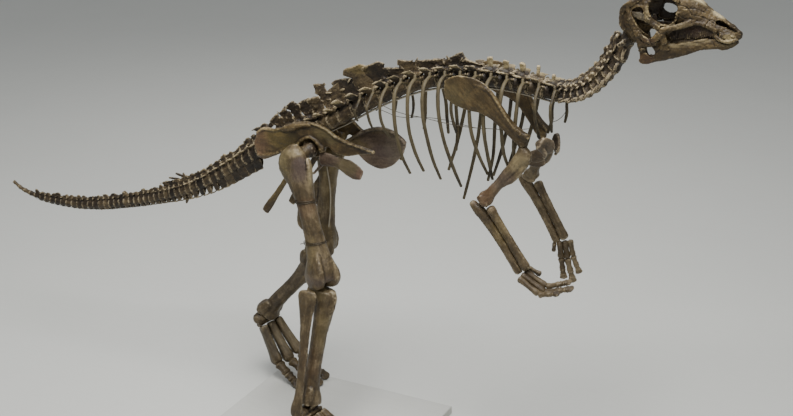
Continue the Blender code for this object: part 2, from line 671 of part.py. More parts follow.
def build_scapula(name, side, glenoid, angle, tilt, material):
    """Shoulder blade: narrow at the joint, broad and bent backwards at the far end."""
    along = Vector((-math.cos(angle), 0, math.sin(angle)))
    across = Vector((math.sin(angle), 0, math.cos(angle)))
    start = glenoid + along * 0.033 + across * 0.016 + Vector((0, side * 0.002, 0))
    stations = []
    for run, offset, wide, thick in BLADE:
        point = start + along * run + across * offset
        point.y = start.y + side * tilt * math.sin(math.pi * min(1.0, run / 0.24) / 2)
        stations.append((point, wide, thick))
    return bone(name, stations, across, material, 8)


def build_arm(word, side, shoulder, elbow, wrist, material):
    """Humerus with its long front crest, then radius in front and ulna behind."""
    line = elbow - shoulder
    down = line.normalized()
    fore = (Vector((1, 0, 0)) - down * down.x).normalized()
    length = line.length
    stations = (
        (shoulder + down * 0.006, 0.026, 0.017), (shoulder + down * 0.022, 0.035, 0.021),
        (shoulder + down * length * 0.25 + fore * 0.009, 0.038, 0.017),
        (shoulder + down * length * 0.48 + fore * 0.015, 0.040, 0.017),
        (shoulder + down * length * 0.62 + fore * 0.006, 0.028, 0.016),
        (shoulder + down * length * 0.80, 0.022, 0.016),
        (shoulder + down * (length - 0.022), 0.027, 0.022),
        (shoulder + down * (length - 0.006), 0.020, 0.018))
    bone(word + "_humerus", stations, fore, material, 8)
    lower = wrist - elbow
    run = lower.normalized()
    front = (Vector((1, 0, 0)) - run * run.x).normalized()
    radius_top = elbow + run * 0.032 + front * 0.019
    radius_end = wrist - run * 0.004 + front * 0.0165
    stations = ((radius_top, 0.0150, 0.013), (mix(radius_top, radius_end, 0.12), 0.0130, 0.011),
                (mix(radius_top, radius_end, 0.5), 0.0130, 0.011),
                (mix(radius_top, radius_end, 0.85), 0.0140, 0.012),
                (radius_end, 0.0155, 0.014))
    bone(word + "_radius", stations, front, material, 6)
    ulna_top = elbow - run * 0.016 - front * 0.030
    ulna_end = wrist - run * 0.004 - front * 0.0155
    stations = ((ulna_top, 0.011, 0.012), (ulna_top + run * 0.030 + front * 0.006, 0.018, 0.016),
                (mix(ulna_top, ulna_end, 0.35) + front * 0.006, 0.0150, 0.013),
                (mix(ulna_top, ulna_end, 0.7) + front * 0.004, 0.0130, 0.012),
                (ulna_end, 0.0145, 0.013))
    bone(word + "_ulna", stations, front, material, 6)
    return run, front


FINGER_SHAPE = (            # (share of the length, width against the palm bone, half thickness)
    (0.14, 1.05, 0.0095), (0.40, 0.80, 0.0075), (0.58, 1.00, 0.0085), (0.72, 0.80, 0.0070),
    (0.84, 1.15, 0.0065), (1.00, 0.50, 0.0035))
FINGERS = (("splint", -1.65, 0.52, 0.0, 0.0065), ("second", -0.55, 0.92, 0.34, 0.0085),
           ("third", 0.55, 1.0, 0.40, 0.0090), ("fourth", 1.65, 0.90, 0.30, 0.0080))


def build_hand(word, side, wrist, joint, tip, reach, fan, run, material):
    """Four digits, each a long palm bone with its finger bones; `fan` turns their row outwards."""
    palm = joint - wrist
    finger = (tip - joint).normalized()
    across = palm.cross(Vector((0, side, 0))).normalized()
    across = Vector((0, side, 0)) * fan + across * math.sqrt(1 - fan * fan)
    across = (across - palm.normalized() * across.dot(palm.normalized())).normalized()
    normal = palm.normalized().cross(across)
    start = wrist + run * 0.010
    for place, order, palm_long, finger_long, wide in FINGERS:
        head = start + across * (0.0170 * order)
        knuckle = wrist + palm * palm_long + across * (0.0190 * order)
        stations = [(head, wide, 0.0105), (mix(head, knuckle, 0.2), wide * 0.90, 0.0095),
                    (mix(head, knuckle, 0.6), wide * 0.85, 0.0085), (mix(head, knuckle, 1.0), wide, 0.0095)]
        if finger_long:
            heading = (finger + across * 0.10 * order).normalized()
            first = knuckle + palm.normalized() * 0.006
            for t, w, thick in FINGER_SHAPE:
                stations.append((first + heading * (reach * finger_long * t), wide * w, thick))
        bone(word + "_finger_" + place, stations, across, material, 6)


def build_shoulder_girdle(word, side, shoulder, material, material_dark):
    """Coracoid in front of the joint and the sternal plate below the chest."""
    near = shoulder + Vector((0.034, -side * 0.008, 0.030))
    far = shoulder + Vector((0.060, -side * 0.052, 0.000))
    stations = ((near, 0.022, 0.010), (mix(near, far, 0.35), 0.028, 0.009),
                (mix(near, far, 0.75), 0.026, 0.008), (far, 0.014, 0.006))
    bone(word + "_coracoid", stations, (0.2, 0, 1), material_dark, 6)
    top = shoulder + Vector((0.020, -side * 0.072, -0.030))
    low = shoulder + Vector((-0.070, -side * 0.066, -0.062))
    stations = ((top, 0.020, 0.005), (mix(top, low, 0.35), 0.022, 0.005), (mix(top, low, 0.7), 0.010, 0.005),
                (low, 0.009, 0.004))
    bone(word + "_sternal_plate", stations, (0.4, 0, 1), material_dark, 6)


# ---- mount -----------------------------------------------------------------------------------
BAR_RADIUS = 0.0035


def build_spine_bar(material):
    """Steel bar that runs along the underside of the trunk and carries it."""
    shell = Shell()
    rings = []
    frames = vertebra_frames(TRUNK_START_X - 0.02, SACRUM_START_X - 0.10, TRUNK_COUNT)[::2]
    for centre, along, up, radius in frames:
        middle = centre - up * (radius + BAR_RADIUS + FIT_GAP + 0.0008)
        rings.append(shell.ring(oval(middle, Vector((0, 1, 0)), up, BAR_RADIUS, BAR_RADIUS, 4)))
    for a, b in zip(rings, rings[1:]):
        shell.bridge(a, b)
    shell.cap(rings[0], flip=True)
    shell.cap(rings[-1])
    return shell.build("mount_spine_bar", material)


def build_base(feet, material):
    """Plain flat base under both feet, top at z = 0."""
    xs = [p.x for p in feet]
    ys = [p.y for p in feet]
    low = (min(xs) - BASE_MARGIN, min(ys) - BASE_MARGIN)
    high = (max(xs) + BASE_MARGIN, max(ys) + BASE_MARGIN)
    shell = Shell()
    rings = []
    for z, inset in ((-BASE_THICKNESS, 0.0), (-BASE_BEVEL, 0.0), (0.0, BASE_BEVEL)):
        x0, y0 = low[0] + inset, low[1] + inset
        x1, y1 = high[0] - inset, high[1] - inset
        rings.append(shell.ring([(x0, y0, z), (x1, y0, z), (x1, y1, z), (x0, y1, z)]))
    for a, b in zip(rings, rings[1:]):
        shell.bridge(a, b)
    shell.cap(rings[0], flip=True)
    shell.cap(rings[-1])
    return shell.build("stand_base", material)


def carry_to_frame():
    """Parent everything to one empty that puts the origin under the bounding box's middle."""
    bpy.context.view_layer.update()
    graph = bpy.context.evaluated_depsgraph_get()
    low = Vector((1e9, 1e9, 1e9))
    high = -low
    for thing in bpy.data.objects:
        if thing.type != "MESH" or thing.display_type == "WIRE":
            continue
        shown = thing.evaluated_get(graph)
        for vertex in shown.data.vertices:
            point = shown.matrix_world @ vertex.co
            low = Vector(min(a, b) for a, b in zip(low, point))
            high = Vector(max(a, b) for a, b in zip(high, point))
    frame = bpy.data.objects.new("model_frame", None)
    bpy.context.collection.objects.link(frame)
    for thing in list(bpy.data.objects):
        if thing is not frame and thing.parent is None:
            thing.parent = frame
    frame.location = (-0.5 * (low.x + high.x), -0.5 * (low.y + high.y), -low.z)
    bpy.context.view_layer.update()


def build_all():
    clear_scene()
    bone_dark = make_material("bone_dark", (0.075, 0.055, 0.036), 0.55)
    bone_brown = make_material("bone_brown", (0.130, 0.098, 0.058), 0.45)
    bone_purple = make_material("bone_purple", (0.090, 0.062, 0.052), 0.45)
    bone_tan = make_material("bone_tan", (0.175, 0.145, 0.105), 0.45)
    bone_skull = make_material("bone_skull", (0.190, 0.145, 0.085), 0.50)
    steel = make_material("steel", (0.320, 0.300, 0.270), 0.35, 0.9)
    painted = make_material("painted_base", (0.480, 0.480, 0.460), 0.60)

    build_skull(bone_skull)
    build_jaw(bone_skull)
    build_backbone(bone_dark)
    build_hips(bone_brown, bone_purple)
    feet = []
    legs = (("right", RIGHT, RIGHT_KNEE, RIGHT_ANKLE, RIGHT_TOE_JOINT, 0.42, Vector((0, 0, 0))),
            ("left", LEFT, LEFT_KNEE, LEFT_ANKLE, LEFT_TOE_JOINT, 0.80, LEFT_FOOT_TWIST))
    for word, side, knee, ankle, toe_joint, settle, twist in legs:
        knee = on_side(knee, side)
        ankle = on_side(ankle, side)
        toe_joint = on_side(toe_joint, side)
        build_femur(word + "_femur", side, knee, bone_tan)
        hip = Vector((0.0, side * HIP_HALF_WIDTH, HIP_HEIGHT))
        build_crus(word, side, knee - hip, knee, ankle, bone_tan)
        build_foot(word, side, ankle, toe_joint, settle, twist, bone_tan)
        feet.append(toe_joint)
        feet.append(toe_joint + Vector((0.15, 0, 0)))
    arms = (("right", RIGHT, RIGHT_SHOULDER, RIGHT_ELBOW, RIGHT_WRIST, RIGHT_FINGER_JOINT,
             Vector((0.998, -0.120, 0.752)), 0.26, 0.88, math.radians(44)),
            ("left", LEFT, LEFT_SHOULDER, LEFT_ELBOW, LEFT_WRIST, LEFT_FINGER_JOINT,
             Vector((0.870, 0.190, 0.630)), 0.22, 0.35, math.radians(52)))
    for word, side, shoulder, elbow, wrist, joint, tip, reach, fan, angle in arms:
        shoulder = on_side(shoulder, side)
        build_scapula(word + "_scapula", side, shoulder, angle, 0.022, bone_brown)
        build_shoulder_girdle(word, side, shoulder, bone_brown, bone_purple)
        run, front = build_arm(word, side, shoulder, on_side(elbow, side), on_side(wrist, side), bone_tan)
        build_hand(word, side, on_side(wrist, side), on_side(joint, side), tip, reach, fan, run, bone_tan)
    build_spine_bar(steel)
    build_base(feet, painted)
    carry_to_frame()


build_all()
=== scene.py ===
"""Looks of the mounted skeleton: modelled bones with their finish, the stand, lights and camera.

Metres.  Bones are worked out in the skeleton's own frame, z = 0 on top of the base and x = 0
at the hip sockets, +X towards the head and +Y towards the animal's left, and every piece is
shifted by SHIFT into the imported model's frame.
"""
import itertools
import math

import bpy
import numpy as np
from mathutils import Matrix, Vector


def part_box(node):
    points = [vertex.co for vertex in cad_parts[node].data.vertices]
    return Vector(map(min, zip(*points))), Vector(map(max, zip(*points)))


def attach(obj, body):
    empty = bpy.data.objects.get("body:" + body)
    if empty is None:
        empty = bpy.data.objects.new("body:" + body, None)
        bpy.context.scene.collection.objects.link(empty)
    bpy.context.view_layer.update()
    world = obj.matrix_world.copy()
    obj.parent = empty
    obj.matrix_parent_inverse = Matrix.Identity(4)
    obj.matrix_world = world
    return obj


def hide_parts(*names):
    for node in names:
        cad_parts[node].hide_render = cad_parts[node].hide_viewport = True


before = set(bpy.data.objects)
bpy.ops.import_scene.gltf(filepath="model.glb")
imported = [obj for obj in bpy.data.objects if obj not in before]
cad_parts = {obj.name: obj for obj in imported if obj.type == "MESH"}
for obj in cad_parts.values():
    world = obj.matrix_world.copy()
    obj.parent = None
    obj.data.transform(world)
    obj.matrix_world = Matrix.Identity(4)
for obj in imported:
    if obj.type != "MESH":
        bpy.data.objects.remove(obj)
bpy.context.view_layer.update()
SHIFT = Vector((0.003728, 0.065096, 0.030))
RIGHT = -1
LEFT = 1
MIDDLE = 1                  # stands in for a side where a bar lies on the middle plane
SIDES = (("right", RIGHT), ("left", LEFT))
X = Vector((1, 0, 0))
Y = Vector((0, 1, 0))
Z = Vector((0, 0, 1))

# grids on which clay is pressed into a skin, from the finest bones to the largest
VOXEL_FINGER_END = 0.0016
VOXEL_SKULL = 0.00165
VOXEL_SLIVER = 0.0017
VOXEL_TOE = 0.0018
VOXEL_TAIL = 0.002
VOXEL_SMALL = 0.0024
VOXEL_BONE = 0.0028
SLIM_TAIL_RADIUS = 0.019    # tail vertebrae thinner than this are pressed on VOXEL_TAIL

# ---- joints, as (x, distance from the middle plane, z) --------------------------------
HIP_HEIGHT = 1.045
HIP_HALF_WIDTH = 0.082
KNEE = {RIGHT: (0.098, 0.165, 0.583), LEFT: (-0.078, 0.120, 0.568)}
ANKLE = {RIGHT: (0.060, 0.246, 0.116), LEFT: (-0.364, 0.152, 0.236)}
TOE_JOINT = {RIGHT: (0.206, 0.258, 0.034), LEFT: (-0.246, 0.140, 0.076)}
SHOULDER = {RIGHT: (0.826, 0.112, 1.176), LEFT: (0.806, 0.098, 1.136)}
ELBOW = {RIGHT: (0.673, 0.124, 0.978), LEFT: (0.710, 0.206, 0.968)}
WRIST = {RIGHT: (0.824, 0.120, 0.764), LEFT: (0.839, 0.190, 0.764)}
FINGER_JOINT = {RIGHT: (0.905, 0.120, 0.716), LEFT: (0.853, 0.190, 0.700)}
FINGER_TIP = {RIGHT: (0.998, 0.120, 0.752), LEFT: (0.870, 0.190, 0.630)}
KNEE_TURN = {RIGHT: 0.5, LEFT: 0.2}         # how far the knee faces outwards, in radians
FOOT_TWIST = {RIGHT: Vector((0, 0, 0)), LEFT: Vector((0.50, 0.0, 0.40))}
TOE_SETTLE = {RIGHT: 0.42, LEFT: 0.80}      # share of a toe's length after which it lies on the base
BLADE_ANGLE = {RIGHT: math.radians(44), LEFT: math.radians(52)}
HAND_REACH = {RIGHT: 0.26, LEFT: 0.22}      # the fingers' lengths are shares of this
HAND_FAN = {RIGHT: 0.88, LEFT: 0.35}        # how far the row of fingers lies sideways
SPINE_LINE = (
    (-1.447, 0.666), (-1.400, 0.638), (-1.300, 0.621), (-1.150, 0.622), (-1.000, 0.644),
    (-0.850, 0.683), (-0.720, 0.724), (-0.600, 0.768), (-0.500, 0.818), (-0.400, 0.882),
    (-0.300, 0.950), (-0.200, 1.012), (-0.100, 1.062), (0.000, 1.110), (0.100, 1.165),
    (0.200, 1.227), (0.300, 1.279), (0.400, 1.320), (0.500, 1.345), (0.600, 1.357),
    (0.700, 1.359), (0.800, 1.350), (0.880, 1.340), (0.935, 1.346), (0.987, 1.376),
    (1.034, 1.426), (1.068, 1.476), (1.092, 1.540),
)
TAIL_TIP_X = -1.447
TAIL_SPLITS_X = (-0.980, -0.560)
TAIL_START_X = -0.165
SACRUM_START_X = 0.085
TRUNK_START_X = 0.880
NECK_SPLIT_X = 0.995
NECK_END_X = 1.092
TRUNK_COUNT = 15            # vertebrae of the trunk, one rib place each
CENTRUM_RADII = (
    (-1.447, 0.0062), (-1.340, 0.0102), (-1.200, 0.014), (-1.000, 0.0165), (-0.750, 0.018),
    (-0.500, 0.0195), (-0.200, 0.0255), (0.100, 0.026), (0.500, 0.0235), (0.880, 0.0225),
    (1.100, 0.022),
)


# ---- numbers ---------------------------------------------------------------------------
def between(table, x):
    """Value at x of a table of (x, value) in rising order, on straight lines."""
    for (x0, v0), (x1, v1) in zip(table, table[1:]):
        if x <= x1:
            return v0 + (v1 - v0) * max(0.0, (x - x0) / (x1 - x0))
    return table[-1][1]


def mix(a, b, t):
    return a + (b - a) * t


def on_side(point, side):
    return Vector((point[0], side * point[1], point[2]))


def hip_joint(side):
    return Vector((0.0, side * HIP_HALF_WIDTH, HIP_HEIGHT))


def spine_at(x):
    """Centre and direction of the vertebral line at x, on a smooth curve through SPINE_LINE."""
    last = len(SPINE_LINE) - 2
    i = 0
    while i < last and x > SPINE_LINE[i + 1][0]:
        i += 1
    near = [SPINE_LINE[min(max(k, 0), last + 1)] for k in (i - 1, i, i + 1, i + 2)]
    (xa, za), (x0, z0), (x1, z1), (xb, zb) = near
    t = (x - x0) / (x1 - x0)
    slope0 = (z1 - za) / (x1 - xa)
    slope1 = (zb - z0) / (xb - x0)
    run = x1 - x0
    rise = z1 - z0
    z = (z0 + run * slope0 * t + (3 * rise - run * (2 * slope0 + slope1)) * t * t
         + (run * (slope0 + slope1) - 2 * rise) * t ** 3)
    slope = (slope0 + 2 * (3 * rise / run - 2 * slope0 - slope1) * t
             + 3 * (slope0 + slope1 - 2 * rise / run) * t * t)
    along = Vector((1.0, 0.0, slope)).normalized()
    return Vector((x, 0.0, z)), along, Vector((-along.z, 0.0, along.x))


NOISE_VALUES = 4096         # a power of two, so that a mask picks one of them
HASH_PRIMES = (73856093, 19349663, 83492791)
OCTAVE_SHIFT = 17.3


def lattice_noise(points, seed):
    """Smooth noise from -1 to 1 at each row of points, one bump to the unit."""
    values = np.random.RandomState(seed).uniform(-1.0, 1.0, NOISE_VALUES)
    cell = np.floor(points).astype(np.int64)
    part = points - cell
    part = part * part * (3.0 - 2.0 * part)
    total = np.zeros(len(points))
    for corner in itertools.product((0, 1), repeat=3):
        spot = np.zeros(len(points), np.int64)
        weight = np.ones(len(points))
        for axis, (step, prime) in enumerate(zip(corner, HASH_PRIMES)):
            spot ^= (cell[:, axis] + step) * prime
            weight *= part[:, axis] if step else 1 - part[:, axis]
        total += weight * values[spot & (NOISE_VALUES - 1)]
    return total


def rough_noise(points, scale, octaves, seed):
    """Noise with finer and weaker octaves, scale bumps to the metre in the first."""
    total = np.zeros(len(points))
    size = 1.0
    for k in range(octaves):
        total += size * lattice_noise(points * (scale * 2 ** k) + OCTAVE_SHIFT * k, seed + k)
        size *= 0.5
    return total


# ---- clay: closed shells pressed into one skin -------------------------------------------
class Clay:
    """Overlapping closed shells.  press() turns them into one even skin."""

    def __init__(self):
        self.points = []
        self.faces = []

    def add(self, rings):
        """A closed shell through rings of equal length; the first and last are single points."""
        first = len(self.points)
        count = len(rings[1])
        self.points.append(rings[0][0])
        starts = []
        for ring in rings[1:-1]:
            starts.append(len(self.points))
            self.points.extend(ring)
        self.points.append(rings[-1][0])
        last = len(self.points) - 1
        for k in range(count):
            n = (k + 1) % count
            self.faces.append((first, starts[0] + n, starts[0] + k))
            self.faces.append((last, starts[-1] + k, starts[-1] + n))
            for a, b in zip(starts, starts[1:]):
                self.faces.append((a + k, a + n, b + n, b + k))


def on_curve(a, b, c, d, t):
    """Place at t between b and c, on the smooth curve through four places."""
    return 0.5 * (2 * b + (c - a) * t + (2 * a - 5 * b + 4 * c - d) * t * t
                  + (3 * b - a - 3 * c + d) * t ** 3)


def smooth_rows(rows, steps):
    """Rows of numbers joined by a smooth curve through them, steps to each gap."""
    rows = np.array(rows, float)
    padded = np.vstack([2 * rows[0] - rows[1], rows, 2 * rows[-1] - rows[-2]])
    made = []
    for i in range(len(rows) - 1):
        for t in np.linspace(0, 1, steps, endpoint=False):
            made.append(on_curve(*padded[i:i + 4], t))
    made.append(rows[-1])
    return np.array(made)


def loft(clay, stations, steps=4, count=20, ends=(0.6, 0.6)):
    """A closed shell through (centre, half axis, half axis, squareness); ends are domes."""
    rows = [(*c, *u, *v, p) for c, u, v, p in stations]
    rows = smooth_rows(rows, steps)
    angles = 2 * math.pi * (np.arange(count) + 0.5) / count
    cos, sin = np.cos(angles), np.sin(angles)

    def ring(row, scale=1.0, push=(0, 0, 0)):
        power = 2.0 / max(row[9], 1.2)
        a = (np.sign(cos) * np.abs(cos) ** power)[:, None] * row[3:6] * scale
        b = (np.sign(sin) * np.abs(sin) ** power)[:, None] * row[6:9] * scale
        return [Vector(p) for p in row[0:3] + np.array(push) + a + b]

    rings = [ring(row) for row in rows]
    for at, near, place, dome in ((0, 1, 0, ends[0]), (-1, -2, len(rings), ends[1])):
        out = rows[at][0:3] - rows[near][0:3]
        out /= max(np.linalg.norm(out), 1e-9)
        small = min(np.linalg.norm(rows[at][3:6]), np.linalg.norm(rows[at][6:9]))
        caps = [ring(rows[at], scale, out * small * dome * high)
                for scale, high in ((0.93, 0.38), (0.74, 0.70), (0.42, 0.93))]
        caps.append([Vector(rows[at][0:3] + out * small * dome)])
        if at == 0:
            rings = caps[::-1] + rings
        else:
            rings = rings + caps
    clay.add(rings)


def tube(clay, stations, across, steps=4, count=20, ends=(0.6, 0.6)):
    """A loft square to its own path: stations of (point, half width, half thickness[, squareness])."""
    centres = [Vector(s[0]) for s in stations]
    made = []
    for i, station in enumerate(stations):
        before = centres[max(i - 1, 0)]
        after = centres[min(i + 1, len(centres) - 1)]
        along = (after - before).normalized()
        side = (Vector(across) - along * along.dot(Vector(across))).normalized()
        power = station[3] if len(station) > 3 else 2.2
        made.append((centres[i], side * station[1], along.cross(side) * station[2], power))
    loft(clay, made, steps, count, ends)


BALL_RINGS = 8


def ball(clay, centre, a, b, c, count=16):
    """An ellipsoid with half axes a, b and c."""
    rings = [[centre - a]]
    for k in range(1, BALL_RINGS):
        turn = math.pi * k / BALL_RINGS
        row = []
        for n in range(count):
            angle = 2 * math.pi * n / count
            out = (b * math.cos(angle) + c * math.sin(angle)) * math.sin(turn)
            row.append(centre - a * math.cos(turn) + out)
        rings.append(row)
    rings.append([centre + a])
    clay.add(rings)


def raw_mesh(points, faces):
    """A mesh whose faces look outwards."""
    mesh = bpy.data.meshes.new("raw")
    mesh.from_pydata([tuple(p) for p in points], [], faces)
    mesh.update()
    volume = 0.0
    for face in mesh.polygons:
        corners = [mesh.vertices[i].co for i in face.vertices]
        for b, c in zip(corners[1:], corners[2:]):
            volume += corners[0].dot(b.cross(c))
    if volume < 0:
        mesh.flip_normals()
    return mesh


def in_scene(name, data):
    """A new object of the scene that shows data."""
    thing = bpy.data.objects.new(name, data)
    bpy.context.scene.collection.objects.link(thing)
    return thing


def evaluated(mesh, modifiers):
    """A new mesh, as mesh is after a list of (type, settings) modifiers."""
    thing = in_scene("work", mesh)
    for kind, settings in modifiers:
        modifier = thing.modifiers.new(kind, kind)
        for key, value in settings.items():
            setattr(modifier, key, value)
    graph = bpy.context.evaluated_depsgraph_get()
    made = bpy.data.meshes.new_from_object(thing.evaluated_get(graph))
    bpy.data.objects.remove(thing)
    return made


def arrays(mesh):
    """A mesh's vertex positions as rows of an array, and its faces as tuples."""
    places = np.zeros(len(mesh.vertices) * 3)
    mesh.vertices.foreach_get("co", places)
    faces = [tuple(p.vertices) for p in mesh.polygons]
    return places.reshape(-1, 3), faces


def bare_skin(clay):
    """A clay's shells just as they are, as (points, faces)."""
    mesh = raw_mesh(clay.points, clay.faces)
    skin = arrays(mesh)
    bpy.data.meshes.remove(mesh)
    return skin


def press(clay, voxel, smooth=3):
    """The one skin of a clay's shells, as (points, faces)."""
    mesh = raw_mesh(clay.points, clay.faces)
    made = evaluated(mesh, [("REMESH", {"mode": "VOXEL", "voxel_size": voxel}),
                            ("SMOOTH", {"factor": 0.5, "iterations": smooth})])
    result = arrays(made)
    bpy.data.meshes.remove(made)
    bpy.data.meshes.remove(mesh)
    return result


class Piece:
    """A visible piece: skins are gathered, roughened, given their colour marks and built."""

    def __init__(self, name, finish, nodes):
        self.name = name
        self.finish = FINISH[finish]
        self.slot = SHARED_SLOTS.get(finish, finish)
        self.nodes = nodes
        self.blocks = []
        self.faces = []
        self.grain = []
        self.tint = []
        self.size = 0

    def add(self, skin, axis=X, tint=0.0):
        """axis is the way the bone's grain runs; tint shifts its tone, -1 dark to 1 pale."""
        points, faces = skin
        if not len(points):
            return
        along = np.array(axis.normalized())
        self.blocks.append(points)
        self.faces.extend(tuple(i + self.size for i in face) for face in faces)
        self.grain.append(points - 0.8 * (points @ along)[:, None] * along)
        self.tint.append(np.full(len(points), tint))
        self.size += len(points)

    def press(self, clay, voxel=VOXEL_BONE, smooth=3, axis=X, tint=0.0):
        self.add(press(clay, voxel, smooth), axis, tint)

    def build(self, rough=0.0008, patches=(), rough_scale=55.0, seed=1):
        points = np.vstack(self.blocks)
        mesh = bpy.data.meshes.new(self.name)
        mesh.from_pydata(points.tolist(), [], self.faces)
        mesh.update()
        normals = np.zeros(len(points) * 3)
        mesh.vertex_normals.foreach_get("vector", normals)
        normals = normals.reshape(-1, 3)
        coarse = rough_noise(points, rough_scale, 2, seed)
        fine = rough_noise(points, rough_scale * 4, 2, seed + 9)
        points = points + normals * (rough * (0.65 * coarse + 0.5 * fine))[:, None]
        relief = relief_of(mesh, points, normals)
        mesh.vertices.foreach_set("co", (points + np.array(SHIFT)).ravel())
        put(mesh, "relief", "FLOAT", "value", relief)
        put(mesh, "grain", "FLOAT_VECTOR", "vector", np.vstack(self.grain).ravel())
        put(mesh, "tone", "FLOAT", "value", np.concatenate(self.tint))
        put(mesh, "paint", "FLOAT_COLOR", "color", painted(points, patches, seed).ravel())
        mesh.polygons.foreach_set("use_smooth", np.ones(len(mesh.polygons), bool))
        mesh.update()
        mesh.materials.append(self.finish)
        thing = in_scene(self.name, mesh)
        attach(thing, "root")
        if self.nodes:
            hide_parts(*self.nodes)


def one_bone(name, node, finish, clay, voxel, axis, rough, patches, rough_scale, seed, tint=0.0):
    """A piece of one bone, in place of one node."""
    piece = Piece(name, finish, [node])
    piece.press(clay, voxel, 3, axis, tint)
    piece.build(rough=rough, patches=patches, rough_scale=rough_scale, seed=seed)


def put(mesh, name, kind, field, values):
    attribute = mesh.attributes.new(name, kind, "POINT")
    attribute.data.foreach_set(field, np.asarray(values, np.float32))


RELIEF_ROUNDS = 10
RELIEF_SPAN = 0.0016


def relief_of(mesh, points, normals):
    """How far each point stands out from its smoothed surroundings, from -1 to 1."""
    count = len(points)
    ends = np.zeros(len(mesh.edges) * 2, np.int32)
    mesh.edges.foreach_get("vertices", ends)
    a, b = ends[0::2], ends[1::2]
    degree = np.maximum(np.bincount(a, minlength=count) + np.bincount(b, minlength=count), 1)
    smooth = points.copy()
    for _ in range(RELIEF_ROUNDS):
        total = np.zeros_like(smooth)
        for k in range(3):
            total[:, k] = np.bincount(a, smooth[b, k], count) + np.bincount(b, smooth[a, k], count)
        smooth = 0.4 * smooth + 0.6 * total / degree[:, None]
    out = np.einsum("ij,ij->i", points - smooth, normals)
    return np.clip(out / RELIEF_SPAN, -1.0, 1.0)


PATCH_RAG_SCALE = 45.0      # bumps to the metre along the ragged edge of a colour patch
PATCH_EDGE = 7.0            # how sharply a patch ends


def painted(points, patches, seed):
    """Colour and share at each point, from patches of (centre, radius, colour, strength)."""
    colours = np.ones((len(points), 4))
    colours[:, 3] = 0.0
    ragged = rough_noise(points, PATCH_RAG_SCALE, 3, seed + 40)
    for centre, radius, colour, strength in patches:
        away = np.linalg.norm((points - np.array(centre)) / np.array(radius), axis=1)
        weight = strength / (1.0 + np.exp((away - 1.0 + 0.30 * ragged) * PATCH_EDGE))
        total = colours[:, 3] + weight * (1 - colours[:, 3])
        share = np.where(total > 1e-6, weight / np.maximum(total, 1e-6), 0.0)
        colours[:, :3] = colours[:, :3] * (1 - share)[:, None] + np.array(colour) * share[:, None]
        colours[:, 3] = total
    return colours


# ---- finishes --------------------------------------------------------------------------
def srgb(red, green, blue):
    """Linear colour from eight-bit screen values."""
    def one(v):
        v = v / 255.0
        return v / 12.92 if v <= 0.04045 else ((v + 0.055) / 1.055) ** 2.4
    return (one(red), one(green), one(blue), 1.0)


class Nodes:
    """Short calls for building a shader."""

    def __init__(self, name):
        self.material = bpy.data.materials.new(name)
        self.material.use_nodes = True
        self.tree = self.material.node_tree
        self.shader = self.tree.nodes["Principled BSDF"]

    def add(self, kind, inputs=None, **settings):
        node = self.tree.nodes.new(kind)
        for key, value in settings.items():
            setattr(node, key, value)
        for key, value in (inputs or {}).items():
            if isinstance(value, bpy.types.NodeSocket):
                self.tree.links.new(value, node.inputs[key])
            else:
                node.inputs[key].default_value = value
        return node

    def math(self, operation, a, b=0.0, c=0.0, clamp=False):
        node = self.add("ShaderNodeMath", {0: a, 1: b, 2: c}, operation=operation, use_clamp=clamp)
        return node.outputs[0]

    def noise(self, vector, scale, detail=4.0, rough=0.6, warp=0.0):
        node = self.add("ShaderNodeTexNoise", {"Vector": vector, "Scale": scale, "Detail": detail,
                                               "Roughness": rough, "Distortion": warp})
        return node.outputs["Fac"]

    def blend(self, share, a, b, kind="MIX"):
        node = self.add("ShaderNodeMix", {0: share, 6: a, 7: b}, data_type="RGBA", blend_type=kind)
        return node.outputs[2]

    def attribute(self, name, output="Fac"):
        node = self.add("ShaderNodeAttribute", attribute_name=name)
        return node.outputs[output]

    def join(self, output, socket):
        self.tree.links.new(output, self.shader.inputs[socket])


